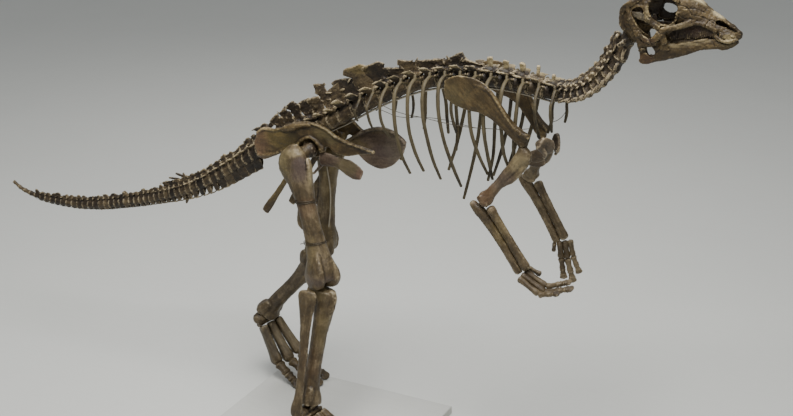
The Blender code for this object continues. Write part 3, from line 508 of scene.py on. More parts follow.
def fossil(name, deep, dark, middle, light, edge, gloss=0.5, cracks=0.6):
    """Lacquered fossil bone: mottled along its grain, with painted shade in its hollows and a pale on its
    raised edges that is partly wear and partly painted highlight.
    """
    n = Nodes(name)
    place = n.add("ShaderNodeTexCoord").outputs["Object"]
    grain = n.attribute("grain", "Vector")
    relief = n.attribute("relief")
    tone = n.attribute("tone")
    patch = n.noise(place, 13.0, 5.0, 0.62, 0.6)
    streak = n.noise(grain, 75.0, 6.0, 0.68, 0.3)
    fine = n.noise(place, 330.0, 4.0, 0.7)
    mixed = n.math("MULTIPLY", patch, 0.46)
    mixed = n.math("MULTIPLY_ADD", streak, 0.38, mixed)
    mixed = n.math("MULTIPLY_ADD", fine, 0.16, mixed)
    # raised places come out a little lighter and sunk ones a little darker, a faint painted highlight and
    # shade
    mixed = n.math("MULTIPLY_ADD", relief, 0.07, mixed)
    mixed = n.math("MULTIPLY_ADD", tone, 0.10, mixed)
    ramp = n.add("ShaderNodeValToRGB", {"Fac": mixed})
    ramp.color_ramp.elements[0].position = 0.365
    ramp.color_ramp.elements[0].color = dark
    ramp.color_ramp.elements[1].position = 0.645
    ramp.color_ramp.elements[1].color = light
    ramp.color_ramp.elements.new(0.50).color = middle
    colour = ramp.outputs["Color"]
    paint = n.add("ShaderNodeAttribute", attribute_name="paint")
    shade = n.math("MULTIPLY_ADD", mixed, 1.9, 0.05)
    grey = n.add("ShaderNodeCombineColor", {0: shade, 1: shade, 2: shade}).outputs[0]
    patch_colour = n.blend(1.0, paint.outputs["Color"], grey, "MULTIPLY")
    colour = n.blend(paint.outputs["Alpha"], colour, patch_colour)
    # painted shade: where the surface sinks below its surroundings the colour goes towards the deep dark,
    # standing in for shade in hollows and crevices; these places are also made rougher
    hollow = n.math("MULTIPLY_ADD", relief, -1.15, -0.16, True)
    colour = n.blend(hollow, colour, deep)
    # wear and painted highlight: raised, streaky places are blended towards the pale edge colour
    wear_and_highlight = n.math("MULTIPLY_ADD", n.math("MULTIPLY", relief, streak), 2.1, -0.42, True)
    colour = n.blend(wear_and_highlight, colour, edge)
    wander = n.add("ShaderNodeTexNoise", {"Vector": place, "Scale": 20.0}).outputs["Color"]
    warped = n.blend(0.10, grain, wander)
    cells = n.add("ShaderNodeTexVoronoi", {"Vector": warped, "Scale": 34.0}, feature="DISTANCE_TO_EDGE")
    line = n.math("MULTIPLY_ADD", cells.outputs[0], -55.0, 1.0, True)
    mask = n.math("MULTIPLY_ADD", n.noise(place, 21.0, 3.0), 6.0, -3.3, True)
    line = n.math("MULTIPLY", n.math("MULTIPLY", line, mask), cracks)
    colour = n.blend(line, colour, deep)
    n.join(colour, "Base Color")
    rough = n.math("MULTIPLY_ADD", streak, 0.30, gloss - 0.12)
    rough = n.math("MULTIPLY_ADD", hollow, 0.25, rough, True)
    n.join(rough, "Roughness")
    pits = n.add("ShaderNodeTexVoronoi", {"Vector": place, "Scale": 420.0}).outputs["Distance"]
    pits = n.math("MULTIPLY", n.math("MULTIPLY_ADD", pits, -2.2, 1.0, True), n.noise(place, 60.0, 2.0))
    height = n.math("MULTIPLY_ADD", streak, 1.0, n.math("MULTIPLY", fine, 0.35))
    height = n.math("MULTIPLY_ADD", pits, -0.45, height)
    height = n.math("MULTIPLY_ADD", line, -0.8, height)
    bump = n.add("ShaderNodeBump", {"Height": height, "Strength": 0.90, "Distance": 0.0022})
    n.join(bump.outputs[0], "Normal")
    n.shader.inputs["Coat Weight"].default_value = 0.08
    n.shader.inputs["Coat Roughness"].default_value = 0.35
    n.shader.inputs["Specular IOR Level"].default_value = 0.30
    return n.material


def metal(name, colour, roughness):
    """Steel with patchy wear."""
    n = Nodes(name)
    place = n.add("ShaderNodeTexCoord").outputs["Object"]
    wear = n.noise(place, 90.0, 5.0, 0.65)
    tone = n.blend(wear, colour, (colour[0] * 0.55, colour[1] * 0.52, colour[2] * 0.48, 1.0))
    n.join(tone, "Base Color")
    n.join(n.math("MULTIPLY_ADD", wear, 0.35, roughness - 0.12), "Roughness")
    n.shader.inputs["Metallic"].default_value = 0.9
    bump = n.add("ShaderNodeBump", {"Height": wear, "Strength": 0.3, "Distance": 0.0004})
    n.join(bump.outputs[0], "Normal")
    return n.material


def board(name, colour, dull):
    """Painted board: faint roller texture, scuffs and dust."""
    n = Nodes(name)
    place = n.add("ShaderNodeTexCoord").outputs["Object"]
    cloud = n.noise(place, 2.2, 5.0, 0.6)
    speck = n.noise(place, 240.0, 3.0, 0.7)
    drawn = n.add("ShaderNodeMapping", {"Vector": place, "Scale": (3.0, 22.0, 6.0)}).outputs[0]
    scuff = n.noise(drawn, 3.0, 6.0, 0.7)
    share = n.math("MULTIPLY_ADD", cloud, 0.5, n.math("MULTIPLY", scuff, 0.4))
    share = n.math("MULTIPLY_ADD", speck, 0.2, share, True)
    n.join(n.blend(share, colour, dull), "Base Color")
    n.join(n.math("MULTIPLY_ADD", scuff, 0.25, 0.45), "Roughness")
    height = n.math("MULTIPLY_ADD", speck, 0.6, scuff)
    bump = n.add("ShaderNodeBump", {"Height": height, "Strength": 0.25, "Distance": 0.0008})
    n.join(bump.outputs[0], "Normal")
    return n.material


# dark of the painted shade in hollows, and of the crack lines
SHADE_AND_CRACK_DARK = srgb(20, 15, 10)
BONE_TONES = (              # (name, dark, middle, light, edge, gloss, cracks); edge is the pale of raised edges, partly wear and partly painted highlight
    ("bone_dark", (27, 20, 12), (50, 40, 26), (92, 78, 54), (178, 162, 130), 0.52, 0.3),
    ("bone_rib", (27, 21, 13), (50, 42, 27), (76, 66, 45), (92, 82, 58), 0.56, 0.3),
    ("bone_brown", (36, 27, 14), (64, 51, 29), (106, 88, 56), (166, 148, 108), 0.42, 0.7),
    ("bone_purple", (44, 33, 25), (76, 62, 50), (112, 96, 80), (164, 147, 122), 0.44, 0.9),
    ("bone_girdle", (36, 28, 19), (68, 57, 43), (110, 96, 76), (170, 154, 126), 0.44, 1.0),
    ("bone_tan", (42, 33, 20), (78, 65, 44), (124, 109, 82), (180, 166, 136), 0.42, 0.8),
    ("bone_skull", (30, 22, 11), (64, 51, 29), (112, 94, 60), (192, 174, 132), 0.46, 0.8),
)
FINISH = {}
for name, *tones, gloss, cracks in BONE_TONES:
    FINISH[name] = fossil(name, SHADE_AND_CRACK_DARK, *(srgb(*tone) for tone in tones), gloss, cracks)
FINISH["steel"] = metal("steel", srgb(176, 168, 152), 0.38)
FINISH["wire"] = metal("wire", srgb(92, 84, 72), 0.45)
FINISH["painted_base"] = board("painted_base", srgb(206, 206, 199), srgb(182, 181, 173))
SHARED_SLOTS = {"bone_rib": "bone_dark", "bone_girdle": "bone_purple", "wire": "steel"}

# colours of the patches
PURPLE = srgb(84, 70, 66)[:3]
OLIVE = srgb(100, 86, 46)[:3]
CREAM = srgb(186, 168, 124)[:3]
# pale of the painted highlight on the top of the skull
PAINTED_HIGHLIGHT = srgb(208, 192, 150)[:3]
PINK = srgb(124, 92, 74)[:3]
GREY = srgb(96, 90, 76)[:3]
GREEN = srgb(110, 99, 66)[:3]
UMBER = srgb(36, 25, 15)[:3]
RUST = srgb(84, 55, 36)[:3]


# ---- backbone ----------------------------------------------------------------------------
DRAW = np.random.RandomState(41)


def jitter(amount):
    """A random number from -amount to amount, the next one of a single fixed row."""
    return float(DRAW.uniform(-amount, amount))


def vertebra(clay, centre, along, up, r, pitch, spine=0.0, lean=0.0, blade=0.5, wing=0.0, lift=0.0,
             sweep=-0.15, chevron=0.0, prongs=1.0, keel=1.0, twist=0.0, ragged=0.0, waist=0.84,
             plate=1.0, shelf=1.0):
    """One vertebra: spool, arch, spine, side processes, joint prongs and, in the tail, a chevron.

    spine, wing and chevron are lengths beyond the arch or body; lean and sweep are shares of
    them, run towards the tail; blade is the spine's length as a share of the pitch; ragged is
    how far its broken edges wander; plate widens the chevron along the tail and shelf widens the
    side processes along the back.
    """
    def at(a, s, h):
        return centre + along * (a * pitch) + Y * s + up * h

    spool = ((-0.48, 0.96), (-0.44, 1.05), (-0.34, 1.0), (-0.15, waist + 0.04), (0.05, waist),
             (0.22, waist + 0.05), (0.37, 1.01), (0.45, 1.05), (0.485, 0.96))
    loft(clay, [(at(a, 0, 0), Y * r * w, up * r * w * keel, 2.1) for a, w in spool], 3, 24, (0.06, 0.10))
    if r < 0.010:
        return
    side_on = r * 0.46
    loft(clay, [(at(0.02, 0, 0.55 * r), along * pitch * 0.34, Y * 0.66 * r, 3.0),
                (at(0.0, 0, 1.10 * r), along * pitch * 0.36, Y * 0.56 * r, 2.8),
                (at(-0.02, 0, 1.62 * r), along * pitch * 0.40, Y * 0.38 * r, 2.4)], 3, 18, (0.2, 0.3))
    for side in (RIGHT, LEFT):
        reach = 0.18 * r * prongs
        tube(clay, ((at(0.10, side * side_on * 0.9, 1.22 * r), reach, reach * 1.3),
                    (at(0.36, side * side_on, 1.35 * r), reach, reach * 1.4),
                    (at(0.60, side * side_on * 1.1, 1.52 * r + jitter(0.1 * r)), reach * 1.3, reach * 0.8)),
             Y, 3, 12)
        tube(clay, ((at(-0.10, side * side_on * 0.5, 1.55 * r), reach, reach * 1.2),
                    (at(-0.36, side * side_on * 0.7, 1.66 * r), reach, reach * 1.2),
                    (at(-0.56, side * side_on * 0.85, 1.68 * r + jitter(0.1 * r)), reach * 1.3, reach * 0.7)),
             Y, 3, 12)
        if wing > 0.004:
            bend = wing * sweep / pitch
            rise = lift * wing
            out = side * (0.45 * r + wing)
            tip = 1.22 * r + rise + jitter(0.12 * wing)
            tube(clay, ((at(0.02, side * 0.30 * r, 1.15 * r), pitch * 0.26, r * 0.26),
                        (at(0.02 + 0.3 * bend, side * (0.45 * r + 0.35 * wing), 1.22 * r + 0.35 * rise),
                         pitch * 0.20 * shelf, r * 0.19),
                        (at(0.02 + 0.8 * bend, side * (0.45 * r + 0.8 * wing), mix(1.22 * r, tip, 0.8)),
                         pitch * 0.19 * shelf, r * 0.15),
                        (at(0.02 + bend, out, tip), pitch * shelf * mix(0.16, 0.34, abs(jitter(1))),
                         r * 0.13)),
                 along, 3, 14)
    if spine > 0.002:
        top = 1.62 * r + spine
        half = 0.5 * blade * pitch
        thick = 0.17 * r + 0.0012
        rows = []
        for t, wide, deep in ((0.0, 0.86, 1.0), (0.20, 0.84, 0.80), (0.42, 0.88, 0.68), (0.62, 0.96, 0.66),
                              (0.82, 1.02, 0.80), (0.94, 1.00, 0.98), (1.0, 0.92, 1.05)):
            high = mix(1.45 * r, top, t)
            back = -(lean * spine * t) / pitch + ragged * 0.22 * jitter(1.0) * t
            side = spine * twist * t * t
            tilt = half * (0.12 + 0.50 * ragged) * jitter(1.0) if t > 0.9 else 0.0
            wide *= 1.0 + 0.34 * ragged * jitter(1.0)
            rows.append((at(back, side, high), along * half * wide + up * tilt, Y * thick * deep, 3.0))
        loft(clay, rows, 4, 18, (0.2, 0.5 + 0.5 * abs(jitter(1.0))))
    for _ in range(int(7 * ragged)):
        spot = at(jitter(0.45), jitter(0.16 * r), 1.5 * r + abs(jitter(1.0)) * (0.3 * r + 0.75 * spine))
        ball(clay, spot, along * (0.006 + abs(jitter(0.010))) + up * jitter(0.005),
             Y * (0.003 + abs(jitter(0.003))), up * (0.004 + abs(jitter(0.008))) + along * jitter(0.005), 8)
    if chevron > 0.003:
        drop = 0.95 * r + chevron
        for side in (RIGHT, LEFT):
            wide = pitch * plate
            tube(clay, ((at(-0.40, side * 0.42 * r, -0.88 * r), wide * 0.36, r * 0.17),
                        (at(-0.50, side * 0.30 * r, -0.62 * r - 0.38 * drop), wide * 0.34, r * 0.15),
                        (at(-0.60, side * 0.16 * r, -0.30 * r - 0.70 * drop), wide * 0.29, r * 0.14),
                        (at(-0.68, side * 0.08 * r, -drop), wide * 0.27, r * 0.14)), along, 3, 12)
        tube(clay, ((at(-0.70, 0, -0.97 * drop), r * 0.12, r * 0.13),
                    (at(-1.15, 0, -1.00 * drop), r * 0.16, r * 0.13),
                    (at(-1.75, 0, -1.01 * drop + 0.1 * r), r * 0.12, r * 0.10)), up, 3, 12)


def spine_run(x_from, x_to, count):
    """(centre, along, up, radius, pitch) of each vertebra between two places."""
    made = []
    for k in range(count):
        a = x_from + (x_to - x_from) * k / count
        b = x_from + (x_to - x_from) * (k + 1) / count
        start, end = spine_at(a)[0], spine_at(b)[0]
        centre = 0.5 * (start + end)
        chord = (end - start).normalized()
        if chord.x < 0:
            chord = -chord
        made.append((centre, chord, Vector((-chord.z, 0, chord.x)), between(CENTRUM_RADII, centre.x),
                     (end - start).length))
    return made


# upper outline of the broken spines over hips and trunk, as (x, z)
BACK_TOPS = (
    (-0.303, 1.041), (-0.264, 1.070), (-0.220, 1.126), (-0.183, 1.124), (-0.151, 1.160), (-0.124, 1.184),
    (-0.062, 1.201), (-0.034, 1.200), (-0.022, 1.255), (0.000, 1.270), (0.024, 1.260), (0.054, 1.257),
    (0.064, 1.244), (0.079, 1.243), (0.090, 1.322), (0.110, 1.338), (0.139, 1.355), (0.206, 1.367),
    (0.235, 1.348), (0.282, 1.356), (0.296, 1.388), (0.350, 1.399), (0.420, 1.404), (0.467, 1.417),
    (0.512, 1.435), (0.539, 1.427), (0.566, 1.415), (0.629, 1.442), (0.685, 1.440), (0.734, 1.434),
    (0.792, 1.442), (0.827, 1.420), (0.870, 1.408), (0.900, 1.392),
)
SPINE_RAG = 0.010           # how far broken edges stand above a spine's own length


def spine_length(centre, along, up, r, lean):
    """Length above the arch at which a leaning spine meets the outline of the back."""
    for step in range(4, 120):
        spine = 0.002 * step
        tip = centre + up * (1.62 * r + spine) - along * (lean * spine)
        if tip.z + SPINE_RAG >= between(BACK_TOPS, tip.x):
            break
    return spine


def tail_spine(x):
    """Length of a tail spine above its arch."""
    return between(((-1.10, 0.003), (-0.70, 0.004), (-0.66, 0.020), (-0.58, 0.018), (-0.50, 0.012),
                    (-0.415, 0.012), (-0.33, 0.010), (-0.29, 0.018), (-0.25, 0.026), (-0.20, 0.034)), x)


def tail_chevron(x):
    """Length of a chevron below the body of its vertebra."""
    return between(((-1.30, 0.003), (-1.00, 0.005), (-0.80, 0.008), (-0.66, 0.012), (-0.56, 0.018),
                    (-0.40, 0.032), (-0.26, 0.036), (-0.24, 0.0)), x)


def tail_wing(x):
    """Length of a tail vertebra's side process."""
    return between(((-0.76, 0.0), (-0.66, 0.016), (-0.55, 0.018), (-0.20, 0.034)), x)


def pale_marks(centre, up, reach, height, strength):
    """Pale marks at the ends of a vertebra's two side processes."""
    return [(tuple(centre + Y * (side * reach) + up * height), (0.018, 0.016, 0.007), CREAM, strength)
            for side in (RIGHT, LEFT)]


def backbone_piece(name, nodes):
    return Piece(name + "_bones", "bone_dark", nodes)


TAIL_PARTS = (              # (node, from x, to x, vertebrae)
    ("tail_tip", TAIL_TIP_X, TAIL_SPLITS_X[0], 17),
    ("tail_middle", TAIL_SPLITS_X[0], TAIL_SPLITS_X[1], 17),
    ("tail_base", TAIL_SPLITS_X[1], TAIL_START_X, 13),
)
# slivers that stand out of the broken spines of the middle tail, as runs of (x, z)
TAIL_SLIVERS = (
    ((-0.572, 0.798), (-0.604, 0.818), (-0.640, 0.828)),
    ((-0.590, 0.792), (-0.630, 0.806), (-0.662, 0.812)),
    ((-0.566, 0.806), (-0.590, 0.828), (-0.606, 0.834)),
)


def build_tail():
    for name, x_from, x_to, count in TAIL_PARTS:
        piece = backbone_piece(name, [name])
        marks = []
        for centre, along, up, r, pitch in spine_run(x_from, x_to, count):
            clay = Clay()
            even = centre.x < -0.68
            wing = tail_wing(centre.x) * (1 + jitter(0.25))
            spine = max(0.003, tail_spine(centre.x) * (1 + jitter(0.3)))
            vertebra(clay, centre, along, up, r, pitch, spine, lean=0.75, blade=0.62 if even else 0.8,
                     wing=wing, lift=0.10, sweep=-0.2, chevron=tail_chevron(centre.x), keel=1.04,
                     ragged=0.25 if even else 0.8, waist=0.88, plate=1.0 if centre.x < -0.43 else 1.75)
            if name == "tail_base":
                marks += pale_marks(centre, up, 0.45 * r + wing, 1.22 * r + 0.1 * wing, 0.15 + jitter(0.2))
            voxel = VOXEL_TAIL if r < SLIM_TAIL_RADIUS else VOXEL_SMALL
            piece.press(clay, voxel, 2, along, jitter(0.8))
        if name == "tail_middle":
            add_slivers(piece)
        piece.build(rough=0.0011, patches=marks, rough_scale=70.0, seed=3)


def add_slivers(piece):
    """Slivers above the middle tail, and the stump of a chevron below it."""
    clay = Clay()
    for points in TAIL_SLIVERS:
        tube(clay, [((x, jitter(0.010), z), 0.0085 - 0.0022 * k, 0.005 - 0.001 * k)
                    for k, (x, z) in enumerate(points)], X + Z * 0.4, 3, 12)
    tube(clay, (((-0.586, 0.004, 0.752), 0.012, 0.005), ((-0.594, 0.004, 0.732), 0.008, 0.004),
                ((-0.598, 0.004, 0.716), 0.004, 0.003)), X, 3, 12)
    piece.press(clay, VOXEL_SLIVER, 1, X, -0.2)


def build_sacrum():
    piece = backbone_piece("sacrum", ["sacrum"])
    marks = []
    lean, wing, lift = 0.15, 0.034, 0.40
    for centre, along, up, r, pitch in spine_run(TAIL_START_X, SACRUM_START_X, 6):
        clay = Clay()
        spine = spine_length(centre, along, up, r, lean)
        vertebra(clay, centre, along, up, r, pitch, spine, lean, blade=1.05, wing=wing, lift=lift, sweep=0.0,
                 prongs=1.4, twist=jitter(0.10), ragged=0.75, waist=0.92)
        marks += pale_marks(centre, up, 0.045, 1.22 * r + lift * wing, 0.3 + jitter(0.25))
        piece.press(clay, VOXEL_SMALL, 2, along, jitter(0.6))
    piece.build(rough=0.0019, patches=marks, rough_scale=75.0, seed=4)


def build_trunk():
    piece = backbone_piece("trunk", ["rib_cage_right", "rib_cage_left"])
    marks = [((0.145, 0.0, 1.345), (0.050, 0.05, 0.026), OLIVE, 0.45)]
    wing = 0.036
    for centre, along, up, r, pitch in spine_run(SACRUM_START_X, TRUNK_START_X, TRUNK_COUNT):
        clay = Clay()
        front = centre.x > 0.60
        lean = 0.10 if front else 0.34
        spine = spine_length(centre, along, up, r, lean)
        blade = 1.32
        if front:
            blade = 0.40 if centre.x < 0.75 else 0.24
            middle = tuple(centre + up * (1.7 * r + 0.72 * spine))
            marks.append((middle, (0.024, 0.03, 0.36 * spine + 0.004), CREAM, 0.62))
        lift = 0.40 if front else 0.62
        vertebra(clay, centre, along, up, r, pitch, spine, lean, blade, wing, lift, sweep=-0.1, prongs=1.3,
                 twist=jitter(0.10), ragged=0.0 if front else 0.65, waist=0.9, shelf=1.5)
        marks += pale_marks(centre, up, 0.046, 1.22 * r + lift * wing, 0.3 + jitter(0.25))
        piece.press(clay, VOXEL_SMALL, 2, along, jitter(0.7))
    piece.build(rough=0.0017, patches=marks, rough_scale=75.0, seed=5)


def neck_rib(clay, side, centre, along, up, r):
    """The short rib low on the side of a neck vertebra."""
    start = centre + Y * (side * 0.85 * r) - up * (0.35 * r)
    tube(clay, ((start + along * 0.008, 0.006, 0.005), (start + Y * side * 0.007, 0.0065, 0.0046),
                (start + Y * side * 0.009 - along * 0.018 - up * 0.004, 0.005, 0.0032),
                (start + Y * side * 0.007 - along * 0.030 - up * 0.008, 0.003, 0.002)), up, 3, 10)


def top_of_neck(clay):
    """The first neck bone, which carries the skull."""
    tube(clay, (((1.090, 0, 1.538), 0.026, 0.021), ((1.096, 0, 1.550), 0.029, 0.024),
                ((1.098, 0, 1.562), 0.027, 0.022), ((1.096, 0, 1.574), 0.021, 0.017)), Y)
    tube(clay, (((1.070, 0, 1.530), 0.014, 0.006), ((1.060, 0, 1.548), 0.015, 0.006),
                ((1.056, 0, 1.566), 0.009, 0.005)), X)
    for side in (RIGHT, LEFT):
        tube(clay, (((1.096, side * 0.020, 1.548), 0.011, 0.009),
                    ((1.088, side * 0.036, 1.540), 0.009, 0.006),
                    ((1.076, side * 0.040, 1.532), 0.006, 0.004)), Z)


def build_neck():
    for name, x_from, x_to in (("neck_base", TRUNK_START_X, NECK_SPLIT_X),
                               ("neck_top", NECK_SPLIT_X, NECK_END_X)):
        piece = backbone_piece(name, [name])
        for centre, along, up, r, pitch in spine_run(x_from, x_to, 5):
            clay = Clay()
            spine = 0.007 + abs(jitter(0.010))
            vertebra(clay, centre, along, up, r, pitch * 1.05, spine, lean=0.2, blade=0.50, wing=0.015,
                     lift=-0.25, sweep=-0.3, prongs=2.0, ragged=1.0, waist=0.84)
            for side in (RIGHT, LEFT):
                neck_rib(clay, side, centre, along, up, r)
            piece.press(clay, VOXEL_SMALL, 2, along, jitter(0.5))
        if name == "neck_top":
            clay = Clay()
            top_of_neck(clay)
            piece.press(clay, VOXEL_SMALL, 2, Z, -0.3)
        piece.build(rough=0.0014, patches=(), rough_scale=80.0, seed=6)


# ---- ribs -----------------------------------------------------------------------------------
# ribs from front to rear, as (reach sideways, drop, lean of the tip forward)
RIBS = {
    RIGHT: (
        (0.060, 0.120, 0.000), (0.075, 0.150, 0.015), (0.088, 0.275, -0.009),
        (0.098, 0.275, 0.028), (0.106, 0.318, 0.027), (0.112, 0.300, 0.065),
        (0.112, 0.172, 0.005), (0.116, 0.345, 0.080), (0.118, 0.320, 0.060),
        (0.115, 0.288, 0.050), (0.108, 0.286, 0.052), (0.098, 0.150, 0.025),
        (0.085, 0.105, 0.010), (0.070, 0.060, 0.000)),
    LEFT: (
        (0.060, 0.120, 0.000), (0.075, 0.175, -0.010), (0.088, 0.316, -0.063),
        (0.098, 0.330, -0.045), (0.106, 0.375, -0.047), (0.112, 0.397, -0.015),
        (0.116, 0.475, -0.052), (0.118, 0.372, -0.058), (0.118, 0.286, 0.023),
        (0.115, 0.213, 0.048), (0.108, 0.190, 0.010), (0.098, 0.130, 0.020),
        (0.085, 0.100, 0.010), (0.070, 0.060, 0.000)),
}


def rib_root(number):
    """Middle, upward axis and radius of the vertebra that carries a rib."""
    x = TRUNK_START_X + (SACRUM_START_X - TRUNK_START_X) * number / TRUNK_COUNT
    centre, _, up = spine_at(x)
    return centre, up, between(CENTRUM_RADII, x)


def rib(number, side, reach, drop, lean):
    """One two-headed rib as a bare skin, from its vertebra out, down and in to the tip."""
    centre, up, r = rib_root(number)
    start = centre + Y * (side * 0.78 * r) + up * (0.55 * r)
    bow = (
        (0.0, 0.0, 0.004), (0.20 * reach, 0.006, 0.002), (0.45 * reach, 0.012, 0.0),
        (0.80 * reach, -0.012, 0.0), (0.99 * reach, -0.26 * drop, 0.10 * lean + jitter(0.003)),
        (1.00 * reach, -0.52 * drop, 0.35 * lean + jitter(0.004)),
        (0.90 * reach, -0.78 * drop, 0.68 * lean + jitter(0.004)), (0.70 * reach, -1.00 * drop, lean),
    )
    size = min(1.0, 0.62 + drop * 1.6)
    shape = ((0.005, 0.0046), (0.0054, 0.0044), (0.0064, 0.0044), (0.0066, 0.0044), (0.0064, 0.0044),
             (0.0064, 0.0043), (0.0062, 0.0039), (0.005, 0.0032))
    clay = Clay()
    stations = []
    for (out, rise, fore), (wide, thick) in zip(bow, shape):
        point = start + Vector((fore, side * out, rise))
        stations.append((point, wide * size, thick * size, 2.3))
    tube(clay, stations, X, 9, 14, (0.8, 0.9))
    knob = start + Vector((-0.004, side * 0.34 * reach, 0.012))
    tube(clay, ((knob, 0.005, 0.005), (knob + Vector((-0.002, -side * 0.006, 0.009)), 0.0055, 0.005)),
         X, 4, 12, (0.5, 0.8))
    return bare_skin(clay)


def build_ribs():
    for word, side in SIDES:
        piece = Piece("ribs_" + word, "bone_rib", ["rib_cage_" + word])
        for number, (reach, drop, lean) in enumerate(RIBS[side]):
            skin = rib(number, side, reach, drop, lean)
            piece.add(skin, Z, jitter(1.0))
        piece.build(rough=0.0007, rough_scale=40.0, seed=11 + side)


# ---- skull and jaw ------------------------------------------------------------------------
SKULL_TO_WORLD = Matrix.Translation(Vector((1.146, 0.0, 1.534))) @ Matrix.Rotation(-math.radians(12), 4, "Y")
SKULL_SECTIONS = (          # (x, bottom, top, half width at bottom, middle, top)
    (-0.052, 0.048, 0.104, 0.018, 0.030, 0.020), (-0.036, 0.030, 0.132, 0.034, 0.050, 0.028),
    (-0.008, 0.012, 0.154, 0.050, 0.060, 0.038), (0.020, 0.016, 0.166, 0.050, 0.064, 0.042),
    (0.055, 0.026, 0.172, 0.042, 0.066, 0.042), (0.098, 0.032, 0.168, 0.037, 0.062, 0.040),
    (0.140, 0.034, 0.154, 0.034, 0.051, 0.032), (0.180, 0.033, 0.131, 0.032, 0.041, 0.022),
    (0.218, 0.024, 0.088, 0.030, 0.032, 0.012), (0.255, 0.010, 0.055, 0.032, 0.029, 0.009),
    (0.282, 0.000, 0.029, 0.033, 0.027, 0.008), (0.300, -0.004, 0.010, 0.018, 0.016, 0.006),
)


def curve_through(points, count, closed=False):
    """Points spread along a smooth curve through a few given ones."""
    pts = np.array(points, float)
    if closed:
        pts = np.vstack([pts[-1], pts, pts[0], pts[1]])
    else:
        pts = np.vstack([2 * pts[0] - pts[1], pts, 2 * pts[-1] - pts[-2]])
    spans = len(pts) - 3
    made = []
    for k in range(count):
        along = spans * k / (count if closed else count - 1)
        i = min(int(along), spans - 1)
        made.append(on_curve(*pts[i:i + 4], along - i))
    return made


def skull_rings(inset, low_inset):
    """Cross sections of the skull, drawn in from its surface by inset."""
    rows = smooth_rows(SKULL_SECTIONS, 5)
    rings = []
    for x, bottom, top, wide_low, wide_mid, wide_top in rows:
        bottom += low_inset
        top -= inset
        middle = 0.5 * (bottom + top)
        tall = top - bottom
        low, mid, high = (max(w - inset, 0.004) for w in (wide_low, wide_mid, wide_top))
        half = ((0.0, bottom), (low * 0.62, bottom), (low, bottom + 0.13 * tall), (mid, middle),
                (0.52 * (mid + high), middle + 0.32 * tall), (high * 0.62, top - 0.02 * tall), (0.0, top))
        right = [(-y, z) for y, z in half]
        left = [(y, z) for y, z in reversed(half[1:-1])]
        ring = curve_through(right + left, 44, True)
        rings.append([Vector((x, y, z)) for y, z in ring])
    return rings


def closed_mesh(rings):
    """Mesh of rings with fan caps at both ends."""
    clay = Clay()
    first = sum(rings[0], Vector()) / len(rings[0])
    last = sum(rings[-1], Vector()) / len(rings[-1])
    clay.add([[first]] + rings + [[last]])
    return raw_mesh(clay.points, clay.faces)


def window(outline, y_from, y_to):
    """Prism across the skull through an outline of (x, z)."""
    shape = curve_through(outline, 40, True)
    rings = []
    for k in range(4):
        y = mix(y_from, y_to, k / 3)
        rings.append([Vector((x, y, z)) for x, z in shape])
    return closed_mesh(rings)


def carve(mesh, cutters):
    """Cut each cutter mesh out of mesh; the cutters are used up."""
    work = []
    for cutter in cutters:
        work.append(in_scene("cutter", cutter))
    made = evaluated(mesh, [("BOOLEAN", {"operation": "DIFFERENCE", "solver": "EXACT", "object": thing})
                            for thing in work])
    for thing in work:
        cutter = thing.data
        bpy.data.objects.remove(thing)
        bpy.data.meshes.remove(cutter)
    bpy.data.meshes.remove(mesh)
    return made


def groove(points, paths, depth, width):
    """Press thin lines of (x, z) into both sides of a skin that lies along the middle plane."""
    clear = 0.012           # nothing nearer to the middle plane is pressed
    far = 9.0
    for path in paths:
        line = np.array(curve_through(path, 40))
        flat = points[:, [0, 2]]
        away = np.full(len(points), far)
        for a, b in zip(line, line[1:]):
            run = b - a
            share = np.clip(((flat - a) @ run) / max(run @ run, 1e-12), 0, 1)
            away = np.minimum(away, np.linalg.norm(flat - a - share[:, None] * run, axis=1))
        press_in = depth * np.exp(-(away / width) ** 2)
        points[:, 1] -= np.sign(points[:, 1]) * press_in * (np.abs(points[:, 1]) > clear)
    return points


ORBIT_RIM = ((0.046, 0.118), (0.051, 0.096), (0.064, 0.076), (0.086, 0.062), (0.106, 0.059), (0.122, 0.073),
             (0.132, 0.092), (0.138, 0.110), (0.131, 0.131), (0.112, 0.147), (0.086, 0.153), (0.062, 0.147),
             (0.049, 0.135))
LOWER_TEMPORAL_RIM = ((-0.003, 0.120), (0.015, 0.127), (0.031, 0.121), (0.035, 0.098), (0.044, 0.074),
                      (0.058, 0.056), (0.060, 0.042), (0.054, 0.029), (0.042, 0.027), (0.028, 0.042),
                      (0.014, 0.062), (0.002, 0.084), (-0.005, 0.104))
NOSTRIL_RIM = ((0.237, 0.046), (0.262, 0.032), (0.284, 0.015), (0.293, 0.009), (0.292, 0.017), (0.272, 0.037),
               (0.250, 0.053), (0.238, 0.054))
TOOTH_HOLLOW = ((0.086, 0.015), (0.090, 0.028), (0.106, 0.041), (0.137, 0.047), (0.169, 0.051),
                (0.188, 0.049), (0.208, 0.036), (0.230, 0.019), (0.224, 0.012), (0.200, 0.007),
                (0.160, 0.000), (0.118, -0.002), (0.096, 0.006))
JAW_WINDOW = {
    RIGHT: ((0.019, 0.002), (0.028, 0.006), (0.038, 0.002), (0.046, -0.012), (0.043, -0.028), (0.030, -0.027),
            (0.020, -0.013)),
    LEFT: ((-0.006, -0.018), (0.004, -0.012), (0.018, -0.008), (0.032, -0.012), (0.036, -0.024),
           (0.024, -0.037), (0.006, -0.042), (-0.005, -0.034)),
}
# bar at the rear of the lower jaw, as (x, z, half width)
JAW_REAR_BAR = {
    RIGHT: ((0.010, -0.004, 0.008), (0.008, -0.022, 0.007), (0.007, -0.038, 0.008)),
    LEFT: ((-0.008, -0.004, 0.0045), (-0.013, -0.024, 0.004), (-0.009, -0.044, 0.0045)),
}
# opening low in the far wall of the skull, in front of the jaw joint
LEFT_CHEEK_GAP = ((0.004, 0.008), (0.022, 0.002), (0.042, 0.008), (0.046, 0.022), (0.036, 0.034),
                  (0.020, 0.038), (0.009, 0.036), (0.004, 0.022))
